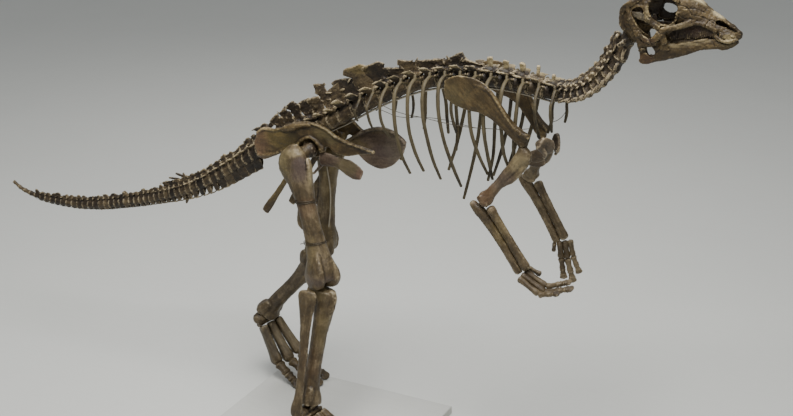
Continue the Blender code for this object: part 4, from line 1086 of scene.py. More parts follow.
# rear end of the bar below the temporal opening, in the rows that strut() takes
CHEEK_BAR = {
    RIGHT: ((0.062, 0.063, 0.030, 0.010, 0.0045), (0.040, 0.062, 0.021, 0.008, 0.004),
            (0.020, 0.060, 0.032, 0.008, 0.004), (0.006, 0.059, 0.052, 0.007, 0.0036)),
    LEFT: ((0.062, 0.063, 0.034, 0.009, 0.0045), (0.042, 0.062, 0.040, 0.0065, 0.004),
           (0.020, 0.060, 0.047, 0.007, 0.004), (0.000, 0.059, 0.056, 0.007, 0.0036)),
}


def in_skull(skin):
    points, faces = skin
    turned = points @ np.array(SKULL_TO_WORLD.to_3x3()).T + np.array(SKULL_TO_WORLD.translation)
    return turned, faces


def add_mesh(clay, mesh):
    points, faces = arrays(mesh)
    first = len(clay.points)
    clay.points.extend(Vector(p) for p in points)
    clay.faces.extend(tuple(i + first for i in face) for face in faces)
    bpy.data.meshes.remove(mesh)


def strut(clay, side, rows, across, ends=(0.8, 0.8), steps=4, count=14):
    """A bar in the skull's frame: (x, distance from the middle, z, half width, half thickness)."""
    tube(clay, [((x, side * y, z), wide, thick, 2.4) for x, y, z, wide, thick in rows],
         across, steps, count, ends)


def half_width(x, z):
    """About how far the skull's side is from the middle plane at a place."""
    rows = smooth_rows(SKULL_SECTIONS, 4)
    row = rows[int(np.argmin(np.abs(rows[:, 0] - x)))]
    share = abs(z - 0.5 * (row[1] + row[2])) / (0.5 * (row[2] - row[1]))
    edge = row[5] if z > 0.5 * (row[1] + row[2]) else row[3]
    return mix(row[4], edge, min(1.0, share) ** 1.6)


def skull_shell():
    """The skull's hollow outer wall with its openings cut."""
    shell = closed_mesh(skull_rings(0.0, 0.0))
    cutters = [closed_mesh(skull_rings(0.006, 0.004))]
    for rim in (ORBIT_RIM, LOWER_TEMPORAL_RIM):
        cutters.append(window(rim, -0.10, 0.10))
    for side in (RIGHT, LEFT):
        cutters.append(window(NOSTRIL_RIM, side * 0.0045, side * 0.06))
        cutters.append(window(TOOTH_HOLLOW, side * 0.021, side * 0.09))
    throat = Clay()
    ball(throat, Vector((0.085, 0, 0.014)), X * 0.125, Y * 0.026, Z * 0.026, 24)
    cutters.append(raw_mesh(throat.points, throat.faces))
    for side in (RIGHT, LEFT):
        hole = Clay()
        ball(hole, Vector((0.022, side * 0.026, 0.160)), X * 0.026, Y * 0.015, Z * 0.032, 20)
        cutters.append(raw_mesh(hole.points, hole.faces))
    cutters.append(window(LEFT_CHEEK_GAP, LEFT * 0.012, LEFT * 0.10))
    return carve(shell, cutters)


def skull_side(clay, s):
    """Bars, rims and teeth of one side, s = RIGHT or LEFT."""
    foot = 0.005 if s == RIGHT else -0.002
    rim = [(x, half_width(x, z) - 0.003, z, 0.004, 0.0046) for x, z in curve_through(ORBIT_RIM, 44, True)]
    strut(clay, s, rim + [rim[0]], Y, steps=1)
    # bar behind the orbit, brow, arch below it and the strut to the jaw joint
    strut(clay, s, ((0.040, 0.050, 0.152, 0.010, 0.006), (0.040, 0.059, 0.126, 0.0062, 0.005),
                    (0.044, 0.063, 0.100, 0.0052, 0.0045), (0.056, 0.065, 0.076, 0.006, 0.0045),
                    (0.072, 0.064, 0.058, 0.0085, 0.005)), X)
    strut(clay, s, ((0.140, 0.050, 0.130, 0.006, 0.006), (0.122, 0.055, 0.146, 0.006, 0.006),
                    (0.095, 0.055, 0.156, 0.006, 0.006), (0.065, 0.053, 0.154, 0.006, 0.006)), Z)
    strut(clay, s, ((0.178, 0.037, 0.062, 0.008, 0.004), (0.150, 0.045, 0.057, 0.010, 0.005),
                    (0.120, 0.054, 0.054, 0.0085, 0.0055), (0.096, 0.060, 0.052, 0.0085, 0.0055),
                    (0.078, 0.063, 0.044, 0.012, 0.005)) + CHEEK_BAR[s], Z)
    strut(clay, s, ((0.080, 0.061, 0.046, 0.0115, 0.005), (0.080, 0.058, 0.026, 0.010, 0.0045),
                    (0.081, 0.056, 0.010, 0.0085, 0.004)), X)
    strut(clay, s, ((-0.016, 0.054, 0.132, 0.0075, 0.006), (-0.014, 0.057, 0.100, 0.0062, 0.0055),
                    (-0.006, 0.057, 0.066, 0.0065, 0.0055), (foot - 0.003, 0.055, 0.036, 0.0075, 0.006),
                    (foot, 0.052, 0.014, 0.0085, 0.0085), (foot, 0.049, 0.004, 0.0085, 0.010)), X)
    # rear upper corner and the process that hooks down behind the strut
    strut(clay, s, ((0.046, 0.047, 0.158, 0.009, 0.006), (0.018, 0.053, 0.148, 0.008, 0.006),
                    (-0.010, 0.054, 0.138, 0.009, 0.006), (-0.032, 0.050, 0.124, 0.010, 0.006),
                    (-0.043, 0.047, 0.098, 0.007, 0.005), (-0.045, 0.046, 0.078, 0.0068, 0.005),
                    (-0.041, 0.046, 0.063, 0.005, 0.004)), X)
    # upper jaw above the hollow, and the battery of teeth inside it
    strut(clay, s, ((0.092, 0.046, 0.040, 0.006, 0.006), (0.115, 0.044, 0.052, 0.006, 0.006),
                    (0.150, 0.040, 0.057, 0.006, 0.006), (0.185, 0.036, 0.056, 0.006, 0.006),
                    (0.212, 0.033, 0.044, 0.007, 0.006), (0.236, 0.033, 0.026, 0.008, 0.006)), Z)
    strut(clay, s, ((0.088, 0.025, 0.026, 0.020, 0.004), (0.130, 0.024, 0.030, 0.025, 0.004),
                    (0.180, 0.023, 0.030, 0.024, 0.004), (0.226, 0.023, 0.024, 0.012, 0.004)), Z)
    for k in range(24):
        t = k / 23
        x = mix(0.094, 0.226, t)
        top = 0.046 - 0.020 * abs(2 * t - 0.9) ** 2.2
        low = mix(0.012, 0.010, t) + 0.001 * jitter(1)
        middle = mix(top, low, 0.5)
        strut(clay, s, ((x, 0.0255, top, 0.002, 0.003), (x + 0.001, 0.0285, middle, 0.0021, 0.0026),
                        (x + 0.002, 0.029, low, 0.0015, 0.0018)), X, steps=3, count=8)
    # beak: flared lower rim, side wall below the nostril and the bar above it
    strut(clay, s, ((0.228, 0.030, 0.018, 0.0065, 0.004), (0.238, 0.033, 0.004, 0.0055, 0.004),
                    (0.252, 0.036, -0.005, 0.005, 0.0045), (0.270, 0.0365, -0.008, 0.005, 0.0045),
                    (0.284, 0.031, -0.007, 0.005, 0.0045), (0.293, 0.019, -0.005, 0.005, 0.0045),
                    (0.296, 0, -0.004, 0.0055, 0.0045)), Z)
    strut(clay, s, ((0.246, 0.033, 0.014, 0.008, 0.003), (0.266, 0.033, 0.008, 0.0095, 0.003),
                    (0.284, 0.024, 0.006, 0.009, 0.0035), (0.294, 0.012, 0.004, 0.0075, 0.004)), Z)
    strut(clay, s, ((0.150, 0.030, 0.147, 0.006, 0.006), (0.190, 0.018, 0.110, 0.005, 0.006),
                    (0.222, 0.009, 0.078, 0.005, 0.005), (0.258, 0.006, 0.047, 0.0045, 0.005),
                    (0.282, 0.005, 0.024, 0.0045, 0.005), (0.297, 0.004, 0.008, 0.005, 0.0045)), Z)
    # sheets inside that close the gaps at the two ends of the tooth row and above the jaw joint
    strut(clay, s, ((0.200, 0.020, 0.020, 0.011, 0.004), (0.216, 0.019, 0.019, 0.013, 0.005),
                    (0.234, 0.018, 0.015, 0.011, 0.004)), Z)
    strut(clay, s, ((0.066, 0.023, 0.030, 0.016, 0.003), (0.082, 0.0235, 0.026, 0.021, 0.003),
                    (0.096, 0.024, 0.024, 0.020, 0.003)), Z)
    if s == RIGHT:
        strut(clay, s, ((0.008, 0.056, 0.014, 0.010, 0.003), (0.028, 0.058, 0.012, 0.010, 0.003),
                        (0.054, 0.0575, 0.016, 0.011, 0.003)), Z)
    # sheet of bone across the middle of the temporal opening
    strut(clay, s, ((-0.006, 0.048, 0.108, 0.008, 0.003), (0.012, 0.0485, 0.101, 0.0105, 0.003),
                    (0.030, 0.050, 0.093, 0.0115, 0.003), (0.047, 0.055, 0.084, 0.010, 0.003)), Z)
    # palate wing and the inner wall of the temporal opening
    strut(clay, s, ((0.004, 0.030, 0.094, 0.018, 0.003), (0.030, 0.030, 0.080, 0.014, 0.003),
                    (0.060, 0.026, 0.080, 0.018, 0.003)), Z)
    strut(clay, s, ((0.064, 0.020, 0.046, 0.010, 0.003), (0.100, 0.017, 0.050, 0.010, 0.003),
                    (0.150, 0.014, 0.054, 0.012, 0.003)), Z)


SKULL_SEAMS = (             # lines of (x, z) pressed into both sides
    ((0.139, 0.118), (0.160, 0.108), (0.172, 0.084), (0.168, 0.060)),
    ((0.136, 0.090), (0.150, 0.076), (0.168, 0.074)), ((0.172, 0.084), (0.205, 0.070), (0.238, 0.044)),
    ((0.150, 0.106), (0.182, 0.100), (0.208, 0.084)), ((0.066, 0.060), (0.072, 0.048), (0.084, 0.040)),
    ((0.042, 0.104), (0.050, 0.090)), ((0.040, 0.026), (0.046, 0.014)), ((0.016, 0.046), (0.022, 0.030)),
    ((0.206, 0.046), (0.220, 0.060), (0.236, 0.054)),
)
JAW_SEAMS = (
    ((0.044, -0.046), (0.050, -0.020), (0.066, -0.006)), ((0.232, -0.032), (0.226, -0.018), (0.218, -0.002)),
)


def build_skull():
    clay = Clay()
    add_mesh(clay, skull_shell())
    for side in (RIGHT, LEFT):
        skull_side(clay, side)
    # braincase, and the partition between the eyes with its gaps
    strut(clay, MIDDLE, ((-0.046, 0, 0.078, 0.024, 0.022), (-0.010, 0, 0.108, 0.032, 0.026),
                         (0.030, 0, 0.118, 0.034, 0.026), (0.056, 0, 0.126, 0.030, 0.020),
                         (0.070, 0, 0.138, 0.020, 0.014)), Z, count=24)
    strut(clay, MIDDLE, ((0.066, 0, 0.094, 0.016, 0.003), (0.090, 0, 0.082, 0.012, 0.003),
                         (0.118, 0, 0.076, 0.018, 0.003), (0.150, 0, 0.078, 0.026, 0.003),
                         (0.180, 0, 0.066, 0.020, 0.003)), Z)
    strut(clay, MIDDLE, ((0.070, 0, 0.128, 0.010, 0.003), (0.100, 0, 0.132, 0.013, 0.003),
                         (0.132, 0, 0.124, 0.024, 0.003), (0.160, 0, 0.110, 0.024, 0.003)), Z)
    strut(clay, MIDDLE, ((0.050, 0, 0.060, 0.010, 0.004), (0.090, 0, 0.056, 0.009, 0.004),
                         (0.150, 0, 0.050, 0.010, 0.004)), Z)
    ball(clay, Vector((-0.052, 0, 0.072)), X * 0.012, Y * 0.012, Z * 0.011)
    points, faces = press(clay, VOXEL_SKULL, 2)
    points = groove(points, SKULL_SEAMS, 0.0021, 0.0017)
    piece = Piece("skull_bones", "bone_skull", ["skull"])
    piece.add(in_skull((points, faces)), SKULL_TO_WORLD.to_3x3() @ X)
    piece.build(rough=0.0021, patches=SKULL_PATCHES, rough_scale=48.0, seed=21)


JAW_STATIONS = (            # (x, distance from middle, bottom, top, half thickness)
    (0.002, 0.048, -0.047, 0.006, 0.0055), (0.014, 0.047, -0.0505, 0.009, 0.007),
    (0.040, 0.044, -0.048, 0.011, 0.008), (0.070, 0.040, -0.045, 0.011, 0.0085),
    (0.110, 0.035, -0.0415, 0.003, 0.008), (0.150, 0.030, -0.0335, 0.001, 0.0075),
    (0.185, 0.027, -0.027, 0.003, 0.0065), (0.215, 0.026, -0.029, 0.004, 0.0055),
    (0.242, 0.027, -0.030, -0.004, 0.005),
)


def build_jaw():
    clay = Clay()
    for s in (RIGHT, LEFT):
        side_clay = Clay()
        rows = [(x, y, 0.5 * (low + high), 0.5 * (high - low), thick)
                for x, y, low, high, thick in JAW_STATIONS]
        strut(side_clay, s, rows, Z, (0.7, 0.6), 5, 28)
        cutter = window(JAW_WINDOW[s], s * 0.02, s * 0.07)
        add_mesh(clay, carve(raw_mesh(side_clay.points, side_clay.faces), [cutter]))
        knob = 0.006 if s == RIGHT else 0.000
        strut(clay, s, ((knob - 0.004, 0.050, -0.006, 0.010, 0.006),
                        (knob + 0.003, 0.050, -0.004, 0.011, 0.007),
                        (knob + 0.010, 0.049, -0.003, 0.009, 0.006)), Y)
        if s == RIGHT:
            strut(clay, s, ((0.010, 0.047, -0.040, 0.009, 0.006), (0.002, 0.047, -0.040, 0.008, 0.005),
                            (-0.004, 0.046, -0.037, 0.005, 0.0045)), Z)
        strut(clay, s, [(x, 0.048, z, wide, 0.0052) for x, z, wide in JAW_REAR_BAR[s]], X)
        rear = 0.004 if s == RIGHT else -0.006
        strut(clay, s, ((0.012, 0.047, -0.046, 0.004, 0.005), (rear, 0.047, -0.045, 0.004, 0.005)), Z)
        strut(clay, s, ((0.076, 0.046, -0.012, 0.016, 0.006), (0.078, 0.049, 0.012, 0.011, 0.005),
                        (0.079, 0.050, 0.032, 0.0085, 0.0045), (0.080, 0.050, 0.050, 0.009, 0.004)), X)
        strut(clay, s, ((0.086, 0.040, -0.002, 0.006, 0.005), (0.120, 0.036, -0.004, 0.005, 0.005),
                        (0.160, 0.031, -0.001, 0.005, 0.0045), (0.205, 0.028, 0.004, 0.004, 0.004)), Z)
        strut(clay, s, ((0.030, 0.0475, -0.040, 0.006, 0.005), (0.080, 0.043, -0.036, 0.005, 0.004),
                        (0.130, 0.035, -0.030, 0.004, 0.003)), Z)
        for k in range(24):
            t = k / 23
            x = mix(0.092, 0.218, t)
            strut(clay, s, ((x, mix(0.030, 0.020, t), -0.004, 0.0022, 0.003),
                            (x - 0.001, mix(0.028, 0.019, t), 0.006, 0.0021, 0.003),
                            (x - 0.002, mix(0.026, 0.018, t), 0.013 + 0.001 * jitter(1), 0.0014, 0.0018)),
                  X, steps=2, count=8)
        # toothless beak in front, as one side of a horseshoe
        strut(clay, s, ((0.222, 0.027, -0.006, 0.013, 0.004), (0.236, 0.029, -0.018, 0.012, 0.0045),
                        (0.254, 0.029, -0.024, 0.009, 0.0045), (0.270, 0.023, -0.023, 0.0075, 0.005),
                        (0.281, 0.013, -0.020, 0.0065, 0.005), (0.284, 0.0, -0.019, 0.006, 0.005)), Z)
        strut(clay, s, ((0.236, 0.012, -0.028, 0.004, 0.008), (0.256, 0.010, -0.027, 0.005, 0.010),
                        (0.276, 0.006, -0.021, 0.005, 0.008)), Z)
    points, faces = press(clay, VOXEL_SKULL, 2)
    points = groove(points, JAW_SEAMS, 0.0013, 0.0015)
    piece = Piece("jaw_bones", "bone_skull", ["lower_jaw"])
    piece.add(in_skull((points, faces)), SKULL_TO_WORLD.to_3x3() @ X, -0.2)
    piece.build(rough=0.0017, patches=JAW_PATCHES, rough_scale=48.0, seed=22)


# ---- hips ---------------------------------------------------------------------------------
class Axes:
    """A bone's own axes: at(down, fore, out) is a place along, in front of and outside its top."""

    def __init__(self, origin, down, out, turn=0.0):
        self.origin = origin
        self.down = down.normalized()
        fore = (X - self.down * self.down.x).normalized()
        side = Vector((0, out, 0))
        side = (side - self.down * side.dot(self.down)).normalized()
        self.fore = fore * math.cos(turn) + side * math.sin(turn)
        self.out = side * math.cos(turn) - fore * math.sin(turn)

    def at(self, down, fore=0.0, out=0.0):
        return self.origin + self.down * down + self.fore * fore + self.out * out

    def loft(self, clay, rows, steps=4, count=24, ends=(0.5, 0.5)):
        """Stations of (down, fore, out, half fore, half out[, squareness])."""
        stations = []
        for down, fore, out, wide, thick, *power in rows:
            stations.append((self.at(down, fore, out), self.fore * wide, self.out * thick, *(power or [2.2])))
        loft(clay, stations, steps, count, ends)

    def tube(self, clay, rows, across, steps=4, count=18, ends=(0.7, 0.7)):
        """A loft square to its path: rows of (down, fore, out, half width, half thickness)."""
        tube(clay, [(self.at(*row[:3]), row[3], row[4]) for row in rows], across, steps, count, ends)


def slab(clay, low, high, y_line, thick):
    """A flat bone between a lower and an upper edge, both lists of (x, z) of one length."""
    stations = []
    for (x_low, z_low), (x_high, z_high), y in zip(low, high, y_line):
        centre = Vector((0.5 * (x_low + x_high), y, 0.5 * (z_low + z_high)))
        half = Vector((0.5 * (x_high - x_low), 0, 0.5 * (z_high - z_low)))
        deep = thick(centre.x) if callable(thick) else thick
        stations.append((centre, half, Vector((0, deep, 0)), 3.2))
    loft(clay, stations, 4, 30, (0.5, 0.5))


def build_ilium(word, side):
    low = [(-0.224, 1.020), (-0.214, 0.990), (-0.190, 0.980), (-0.150, 0.998), (-0.110, 1.024),
           (-0.070, 1.036), (-0.045, 1.041), (-0.026, 1.070), (0.000, 1.086), (0.026, 1.072), (0.047, 1.047),
           (0.072, 1.068), (0.104, 1.050), (0.150, 1.048), (0.205, 1.064), (0.262, 1.080)]
    high = [(-0.224, 1.050), (-0.212, 1.080), (-0.185, 1.100), (-0.142, 1.100), (-0.104, 1.114),
            (-0.074, 1.130), (-0.050, 1.138), (-0.025, 1.143), (0.000, 1.146), (0.026, 1.144), (0.052, 1.138),
            (0.078, 1.129), (0.108, 1.114), (0.150, 1.104), (0.205, 1.096), (0.264, 1.088)]
    if side == LEFT:
        low = [(x, z - 0.30 * max(0.0, x - 0.06)) for x, z in low]
        high = [(x, z - 0.44 * max(0.0, x - 0.06)) for x, z in high]
    y_line = [side * (0.078 + 0.13 * max(0.0, x - 0.05)) for x, _ in high]
    clay = Clay()
    slab(clay, low, high, y_line, lambda x: 0.0068 if x < 0.09 else 0.0052)
    slab(clay, [(-0.040, 1.020), (-0.020, 1.014), (0.010, 1.012), (0.036, 1.020)],
         [(-0.040, 1.070), (-0.020, 1.092), (0.012, 1.096), (0.036, 1.080)], [side * 0.055] * 4, 0.004)
    for x, z in ((-0.042, 1.050), (0.040, 1.060)):
        tube(clay, (((x, side * 0.076, z), 0.012, 0.010), ((x * 0.86, side * 0.056, z), 0.014, 0.009)), Z)
    out = side * 0.078
    # rim over the socket, its two stems, the overhang behind it, the rolled upper edge and the rear shelf
    tube(clay, (((-0.056, out + side * 0.003, 1.040), 0.010, 0.013),
                ((-0.034, out + side * 0.004, 1.072), 0.008, 0.011),
                ((0.000, out + side * 0.003, 1.093), 0.007, 0.010),
                ((0.030, out + side * 0.002, 1.080), 0.008, 0.010),
                ((0.046, out + side * 0.002, 1.060), 0.010, 0.011)), Z)
    ball(clay, Vector((-0.052, out, 1.040)), X * 0.020, Y * 0.018, Z * 0.015)
    ball(clay, Vector((0.048, out, 1.058)), X * 0.013, Y * 0.015, Z * 0.018)
    tube(clay, (((-0.105, out + side * 0.006, 1.106), 0.008, 0.007),
                ((-0.070, out + side * 0.012, 1.118), 0.012, 0.010),
                ((-0.035, out + side * 0.010, 1.130), 0.010, 0.009),
                ((0.005, out + side * 0.005, 1.138), 0.008, 0.007)), Z)
    tube(clay, [((x, y + side * 0.002, z - 0.004), 0.008, 0.0055) for (x, z), y in zip(high, y_line)][1:],
         Y, 3)
    tube(clay, (((-0.212, out, 0.998), 0.010, 0.010), ((-0.160, out, 1.004), 0.010, 0.009),
                ((-0.105, out, 1.030), 0.010, 0.008), ((-0.070, out, 1.040), 0.010, 0.010)), Y)
    one_bone("ilium_" + word, word + "_ilium", "bone_brown", clay,
             VOXEL_SMALL, X, rough=0.0013, patches=HIP_PATCHES, rough_scale=40.0, seed=31 + side)


def build_ischium(word, side):
    start = Vector((-0.034, side * 0.070, 1.022))
    tip = Vector((-0.205 if side == RIGHT else -0.165, side * 0.058, 0.775))
    clay = Clay()
    rows = [(mix(start, tip, t), wide, thick) for t, wide, thick in (
        (0.0, 0.021, 0.011), (0.06, 0.020, 0.010), (0.14, 0.016, 0.009), (0.28, 0.0115, 0.008),
        (0.50, 0.010, 0.0078), (0.72, 0.011, 0.008), (0.90, 0.015, 0.0088), (1.0, 0.014, 0.0075))]
    tube(clay, rows, X)
    flap = mix(start, tip, 0.16) + Vector((0.016, 0, -0.004))
    tube(clay, ((mix(start, tip, 0.06) + X * 0.010, 0.014, 0.007), (flap, 0.012, 0.006),
                (mix(start, tip, 0.26) + X * 0.012, 0.006, 0.005)), X)
    ball(clay, start + Vector((0.004, 0, 0.000)), X * 0.018, Y * 0.013, Z * 0.015)
    one_bone("ischium_" + word, word + "_ischium", "bone_brown", clay,
             VOXEL_SMALL, tip - start, rough=0.0011, patches=HIP_PATCHES, rough_scale=45.0, seed=34 + side)


def build_pubes():
    """The right pubis, a slim blade, and the left one, a broad plate."""
    rows = [((x, y, z), wide, thick) for x, y, z, wide, thick in (
        (0.042, -0.072, 1.016, 0.024, 0.012), (0.054, -0.0728, 1.017, 0.0255, 0.0105),
        (0.078, -0.0745, 1.018, 0.0235, 0.0085), (0.105, -0.077, 1.016, 0.0215, 0.0075),
        (0.130, -0.079, 1.010, 0.0255, 0.007), (0.155, -0.0813, 1.003, 0.0305, 0.0068),
        (0.185, -0.0838, 0.992, 0.0285, 0.0066), (0.206, -0.085, 0.985, 0.019, 0.0058))]
    neck = Vector(rows[0][0])
    end = Vector(rows[-1][0])
    clay = Clay()
    tube(clay, rows, Z)
    tube(clay, ((neck + Vector((0.004, 0.004, -0.016)), 0.008, 0.007),
                (neck + Vector((-0.012, 0.006, -0.034)), 0.006, 0.0055),
                (neck + Vector((-0.040, 0.010, -0.064)), 0.0045, 0.0045)), X)
    one_bone("pubis_right", "right_pubis", "bone_purple", clay,
             VOXEL_SMALL, end - neck, rough=0.0012, patches=HIP_PATCHES, rough_scale=45.0, seed=36)
    low = [(0.046, 1.000), (0.075, 1.012), (0.105, 1.004), (0.150, 0.974), (0.200, 0.962), (0.250, 0.982),
           (0.290, 1.026), (0.302, 1.055)]
    high = [(0.047, 1.038), (0.075, 1.054), (0.105, 1.077), (0.150, 1.101), (0.200, 1.116), (0.250, 1.112),
            (0.288, 1.092), (0.302, 1.078)]
    y_line = [0.072 - 0.06 * (x - 0.036) for x, _ in low]
    clay = Clay()
    slab(clay, low, high, y_line, 0.006)
    tube(clay, [((x, y, z - 0.004), 0.0085, 0.0055) for (x, z), y in zip(high, y_line)], Y)
    ball(clay, Vector((0.052, 0.070, 1.016)), X * 0.012, Y * 0.014, Z * 0.019)
    one_bone("pubis_left", "left_pubis", "bone_purple", clay,
             VOXEL_SMALL, Vector((0.25, 0, 0.06)), rough=0.0013, patches=HIP_PATCHES, rough_scale=40.0,
             seed=37)


# ---- hind legs ------------------------------------------------------------------------------
def femur_top(side):
    """Place on the thigh bone's axis outside the hip socket."""
    return hip_joint(side) + Vector((-0.030, side * 0.045, -0.012))


def build_femur(word, side, knee, turn, patches):
    hip = hip_joint(side)
    top = femur_top(side)
    length = (knee - top).length
    ax = Axes(top, knee - top, side)
    clay = Clay()
    ball(clay, hip, X * 0.0285, Y * 0.027, Z * 0.0285, 24)
    tube(clay, ((hip - Y * side * 0.004, 0.025, 0.025),
                (hip + Vector((-0.008, side * 0.018, -0.003)), 0.024, 0.022),
                (hip + Vector((-0.022, side * 0.036, -0.012)), 0.034, 0.026)), X)
    # great trochanter, shaft and the fourth trochanter behind it
    ax.loft(clay, ((-0.034, -0.006, -0.002, 0.022, 0.016, 2.0), (-0.022, -0.010, 0.002, 0.038, 0.024, 2.1),
                   (0.000, -0.012, 0.005, 0.052, 0.029, 2.2), (0.030, -0.012, 0.005, 0.058, 0.031, 2.3),
                   (0.065, -0.008, 0.002, 0.055, 0.031, 2.3), (0.095, -0.004, 0, 0.047, 0.030, 2.3),
                   (0.130, -0.002, 0, 0.040, 0.030, 2.3), (length * 0.36, 0, 0, 0.034, 0.031),
                   (length * 0.50, 0.001, 0, 0.032, 0.030), (length * 0.62, 0.002, 0, 0.035, 0.030),
                   (length * 0.75, 0.002, 0, 0.041, 0.033), (length - 0.066, 0.002, 0, 0.052, 0.040, 2.5),
                   (length - 0.030, 0, 0, 0.050, 0.042, 2.6)), 4, 28)
    ax.loft(clay, ((0.014, 0.054, 0.012, 0.005, 0.008), (0.026, 0.054, 0.012, 0.0075, 0.011, 2.6),
                   (0.055, 0.050, 0.010, 0.0085, 0.012, 2.6), (0.085, 0.040, 0.006, 0.010, 0.012),
                   (0.115, 0.030, 0.003, 0.010, 0.012)), 4, 16)
    ax.loft(clay, ((length * 0.33, -0.022, -0.010, 0.010, 0.008),
                   (length * 0.42, -0.034, -0.012, 0.017, 0.0075),
                   (length * 0.49, -0.042, -0.013, 0.020, 0.0075),
                   (length * 0.54, -0.042, -0.013, 0.016, 0.0075),
                   (length * 0.58, -0.030, -0.011, 0.008, 0.007)), 4, 16)
    # two condyles with the groove between them
    low = Axes(top, knee - top, side, turn)
    for o, wide, reach, deep in ((0.029, 0.024, 0.052, 0.000), (-0.029, 0.0265, 0.056, 0.004)):
        low.loft(clay, ((length - 0.125, 0.004, o * 0.45, 0.030, 0.014),
                        (length - 0.085, 0.002, o * 0.80, 0.045, 0.019),
                        (length - 0.050 + deep, 0.000, o, 0.054, wide, 2.3),
                        (length - 0.022 + deep, -0.002, o, reach, wide, 2.2),
                        (length - 0.004 + deep, -0.006, o * 0.98, reach * 0.76, wide * 0.84)), 4, 26,
                 (0.4, 0.55))
    one_bone("femur_" + word, word + "_femur", "bone_tan", clay,
             VOXEL_BONE, ax.down, rough=0.0013, patches=patches, rough_scale=38.0, seed=41 + side)


def foot_axes(side, ankle, joint, twist):
    """Way along the metatarsals, level heading, level sideways and the row of knuckles."""
    line = joint - ankle
    way = line.normalized()
    forward = Vector((line.x, line.y, 0)).normalized()
    level = Vector((-forward.y, forward.x, 0)) * (1 if side == LEFT else -1)
    across = level + twist
    return way, forward, level, (across - way * across.dot(way)).normalized()


def build_crus(word, side, thigh, knee, ankle, joint, twist, turn, patches):
    line = ankle - knee
    length = line.length
    bend = thigh.angle(line)
    down = line.normalized()
    gap = 0.008 + 0.055 * math.tan(bend / 2)
    start = knee + down * gap - Y * (side * 0.006)
    ax = Axes(start, line, side, turn)
    run = length - gap - 0.034
    clay = Clay()
    ax.loft(clay, ((0.006, -0.002, 0.000, 0.044, 0.034, 2.6), (0.030, 0.004, 0, 0.046, 0.031, 2.5),
                   (0.085, 0.008, 0, 0.038, 0.027, 2.3), (0.34 * length, 0.004, 0, 0.029, 0.026),
                   (0.50 * length, 0.002, 0, 0.0275, 0.0245), (0.62 * length, 0.0, 0, 0.0285, 0.025),
                   (0.76 * length, 0.0, 0, 0.030, 0.0265, 2.4), (run - 0.022, 0, 0, 0.042, 0.035, 2.8),
                   (run, 0, 0, 0.045, 0.038, 2.8)), 4, 28, (0.35, 0.2))
    # front crest, two rear condyles, the two ankle knobs
    ax.loft(clay, ((-0.002, 0.034, 0.006, 0.018, 0.012, 2.4), (0.022, 0.044, 0.010, 0.020, 0.011, 2.4),
                   (0.060, 0.042, 0.010, 0.018, 0.010, 2.4), (0.100, 0.030, 0.006, 0.014, 0.010),
                   (0.140, 0.020, 0.004, 0.010, 0.010)), 4, 18)
    for o in (0.024, -0.024):
        ax.loft(clay, ((-0.004, -0.034, o, 0.020, 0.015), (0.020, -0.036, o, 0.021, 0.016),
                       (0.055, -0.024, o * 0.7, 0.016, 0.013)), 4, 18)
    ax.loft(clay, ((run - 0.060, 0.014, 0.020, 0.014, 0.012), (run - 0.025, 0.016, 0.028, 0.020, 0.015),
                   (run + 0.001, 0.012, 0.028, 0.020, 0.014)), 4, 18, (0.5, 0.3))
    ax.loft(clay, ((run - 0.060, -0.010, -0.018, 0.016, 0.014), (run - 0.025, -0.016, -0.026, 0.022, 0.017),
                   (run + 0.003, -0.016, -0.026, 0.021, 0.016)), 4, 18, (0.5, 0.3))
    one_bone("tibia_" + word, word + "_tibia", "bone_tan", clay,
             VOXEL_BONE, ax.down, rough=0.0012, patches=patches, rough_scale=38.0, seed=45 + side)

    plain = Axes(start, line, side)
    lateral = start + Y * (side * 0.054) - plain.fore * 0.036
    foot = ankle + Y * (side * 0.060) - down * 0.004 - plain.fore * 0.010
    clay = Clay()
    outward = Y * (side * 0.003)
    rows = [(mix(lateral, foot, t) + plain.fore * f + outward, wide, thick) for t, f, wide, thick in (
        (0.0, 0.0, 0.031, 0.0115), (0.025, 0.0, 0.037, 0.013), (0.08, 0.0, 0.034, 0.0125),
        (0.18, 0.002, 0.026, 0.011), (0.30, 0.004, 0.020, 0.0105), (0.52, 0.006, 0.0165, 0.010),
        (0.75, 0.006, 0.0155, 0.0095), (0.86, 0.004, 0.018, 0.0105), (0.93, 0.001, 0.0225, 0.011),
        (0.98, 0, 0.021, 0.0095), (1.0, 0, 0.0165, 0.008))]
    tube(clay, rows, plain.fore)
    one_bone("fibula_" + word, word + "_fibula", "bone_tan", clay,
             VOXEL_SMALL, ax.down, rough=0.001, patches=patches, rough_scale=45.0, seed=47 + side, tint=-0.2)

    radius = 0.025
    clay = Clay()
    stations = [(ankle + Y * (side * reach), radius * size, radius * size) for reach, size in (
        (-0.050, 0.70), (-0.043, 0.92), (-0.030, 1.0), (-0.010, 0.90), (0.010, 0.88), (0.026, 0.98),
        (0.034, 0.90), (0.040, 0.96), (0.050, 0.80))]
    tube(clay, stations, plain.fore, 4, 24)
    way, forward, _, across = foot_axes(side, ankle, joint, twist)
    low = ankle + way * 0.019 + forward * 0.009
    tube(clay, [(low + across * reach, 0.0088, thick) for reach, thick in (
        (-0.046, 0.017), (-0.034, 0.0205), (-0.018, 0.0185), (-0.002, 0.0205), (0.014, 0.0185),
        (0.030, 0.0205), (0.046, 0.016))], way, 4, 20)
    tube(clay, ((ankle + plain.fore * 0.018 - down * 0.010, 0.020, 0.008),
                (ankle + plain.fore * 0.030 - down * 0.036, 0.012, 0.006),
                (ankle + plain.fore * 0.036 - down * 0.060, 0.005, 0.004)), Y)
    one_bone("ankle_" + word, word + "_ankle", "bone_tan", clay,
             VOXEL_SMALL, Y, rough=0.0011, patches=patches, rough_scale=50.0, seed=49 + side, tint=-0.1)


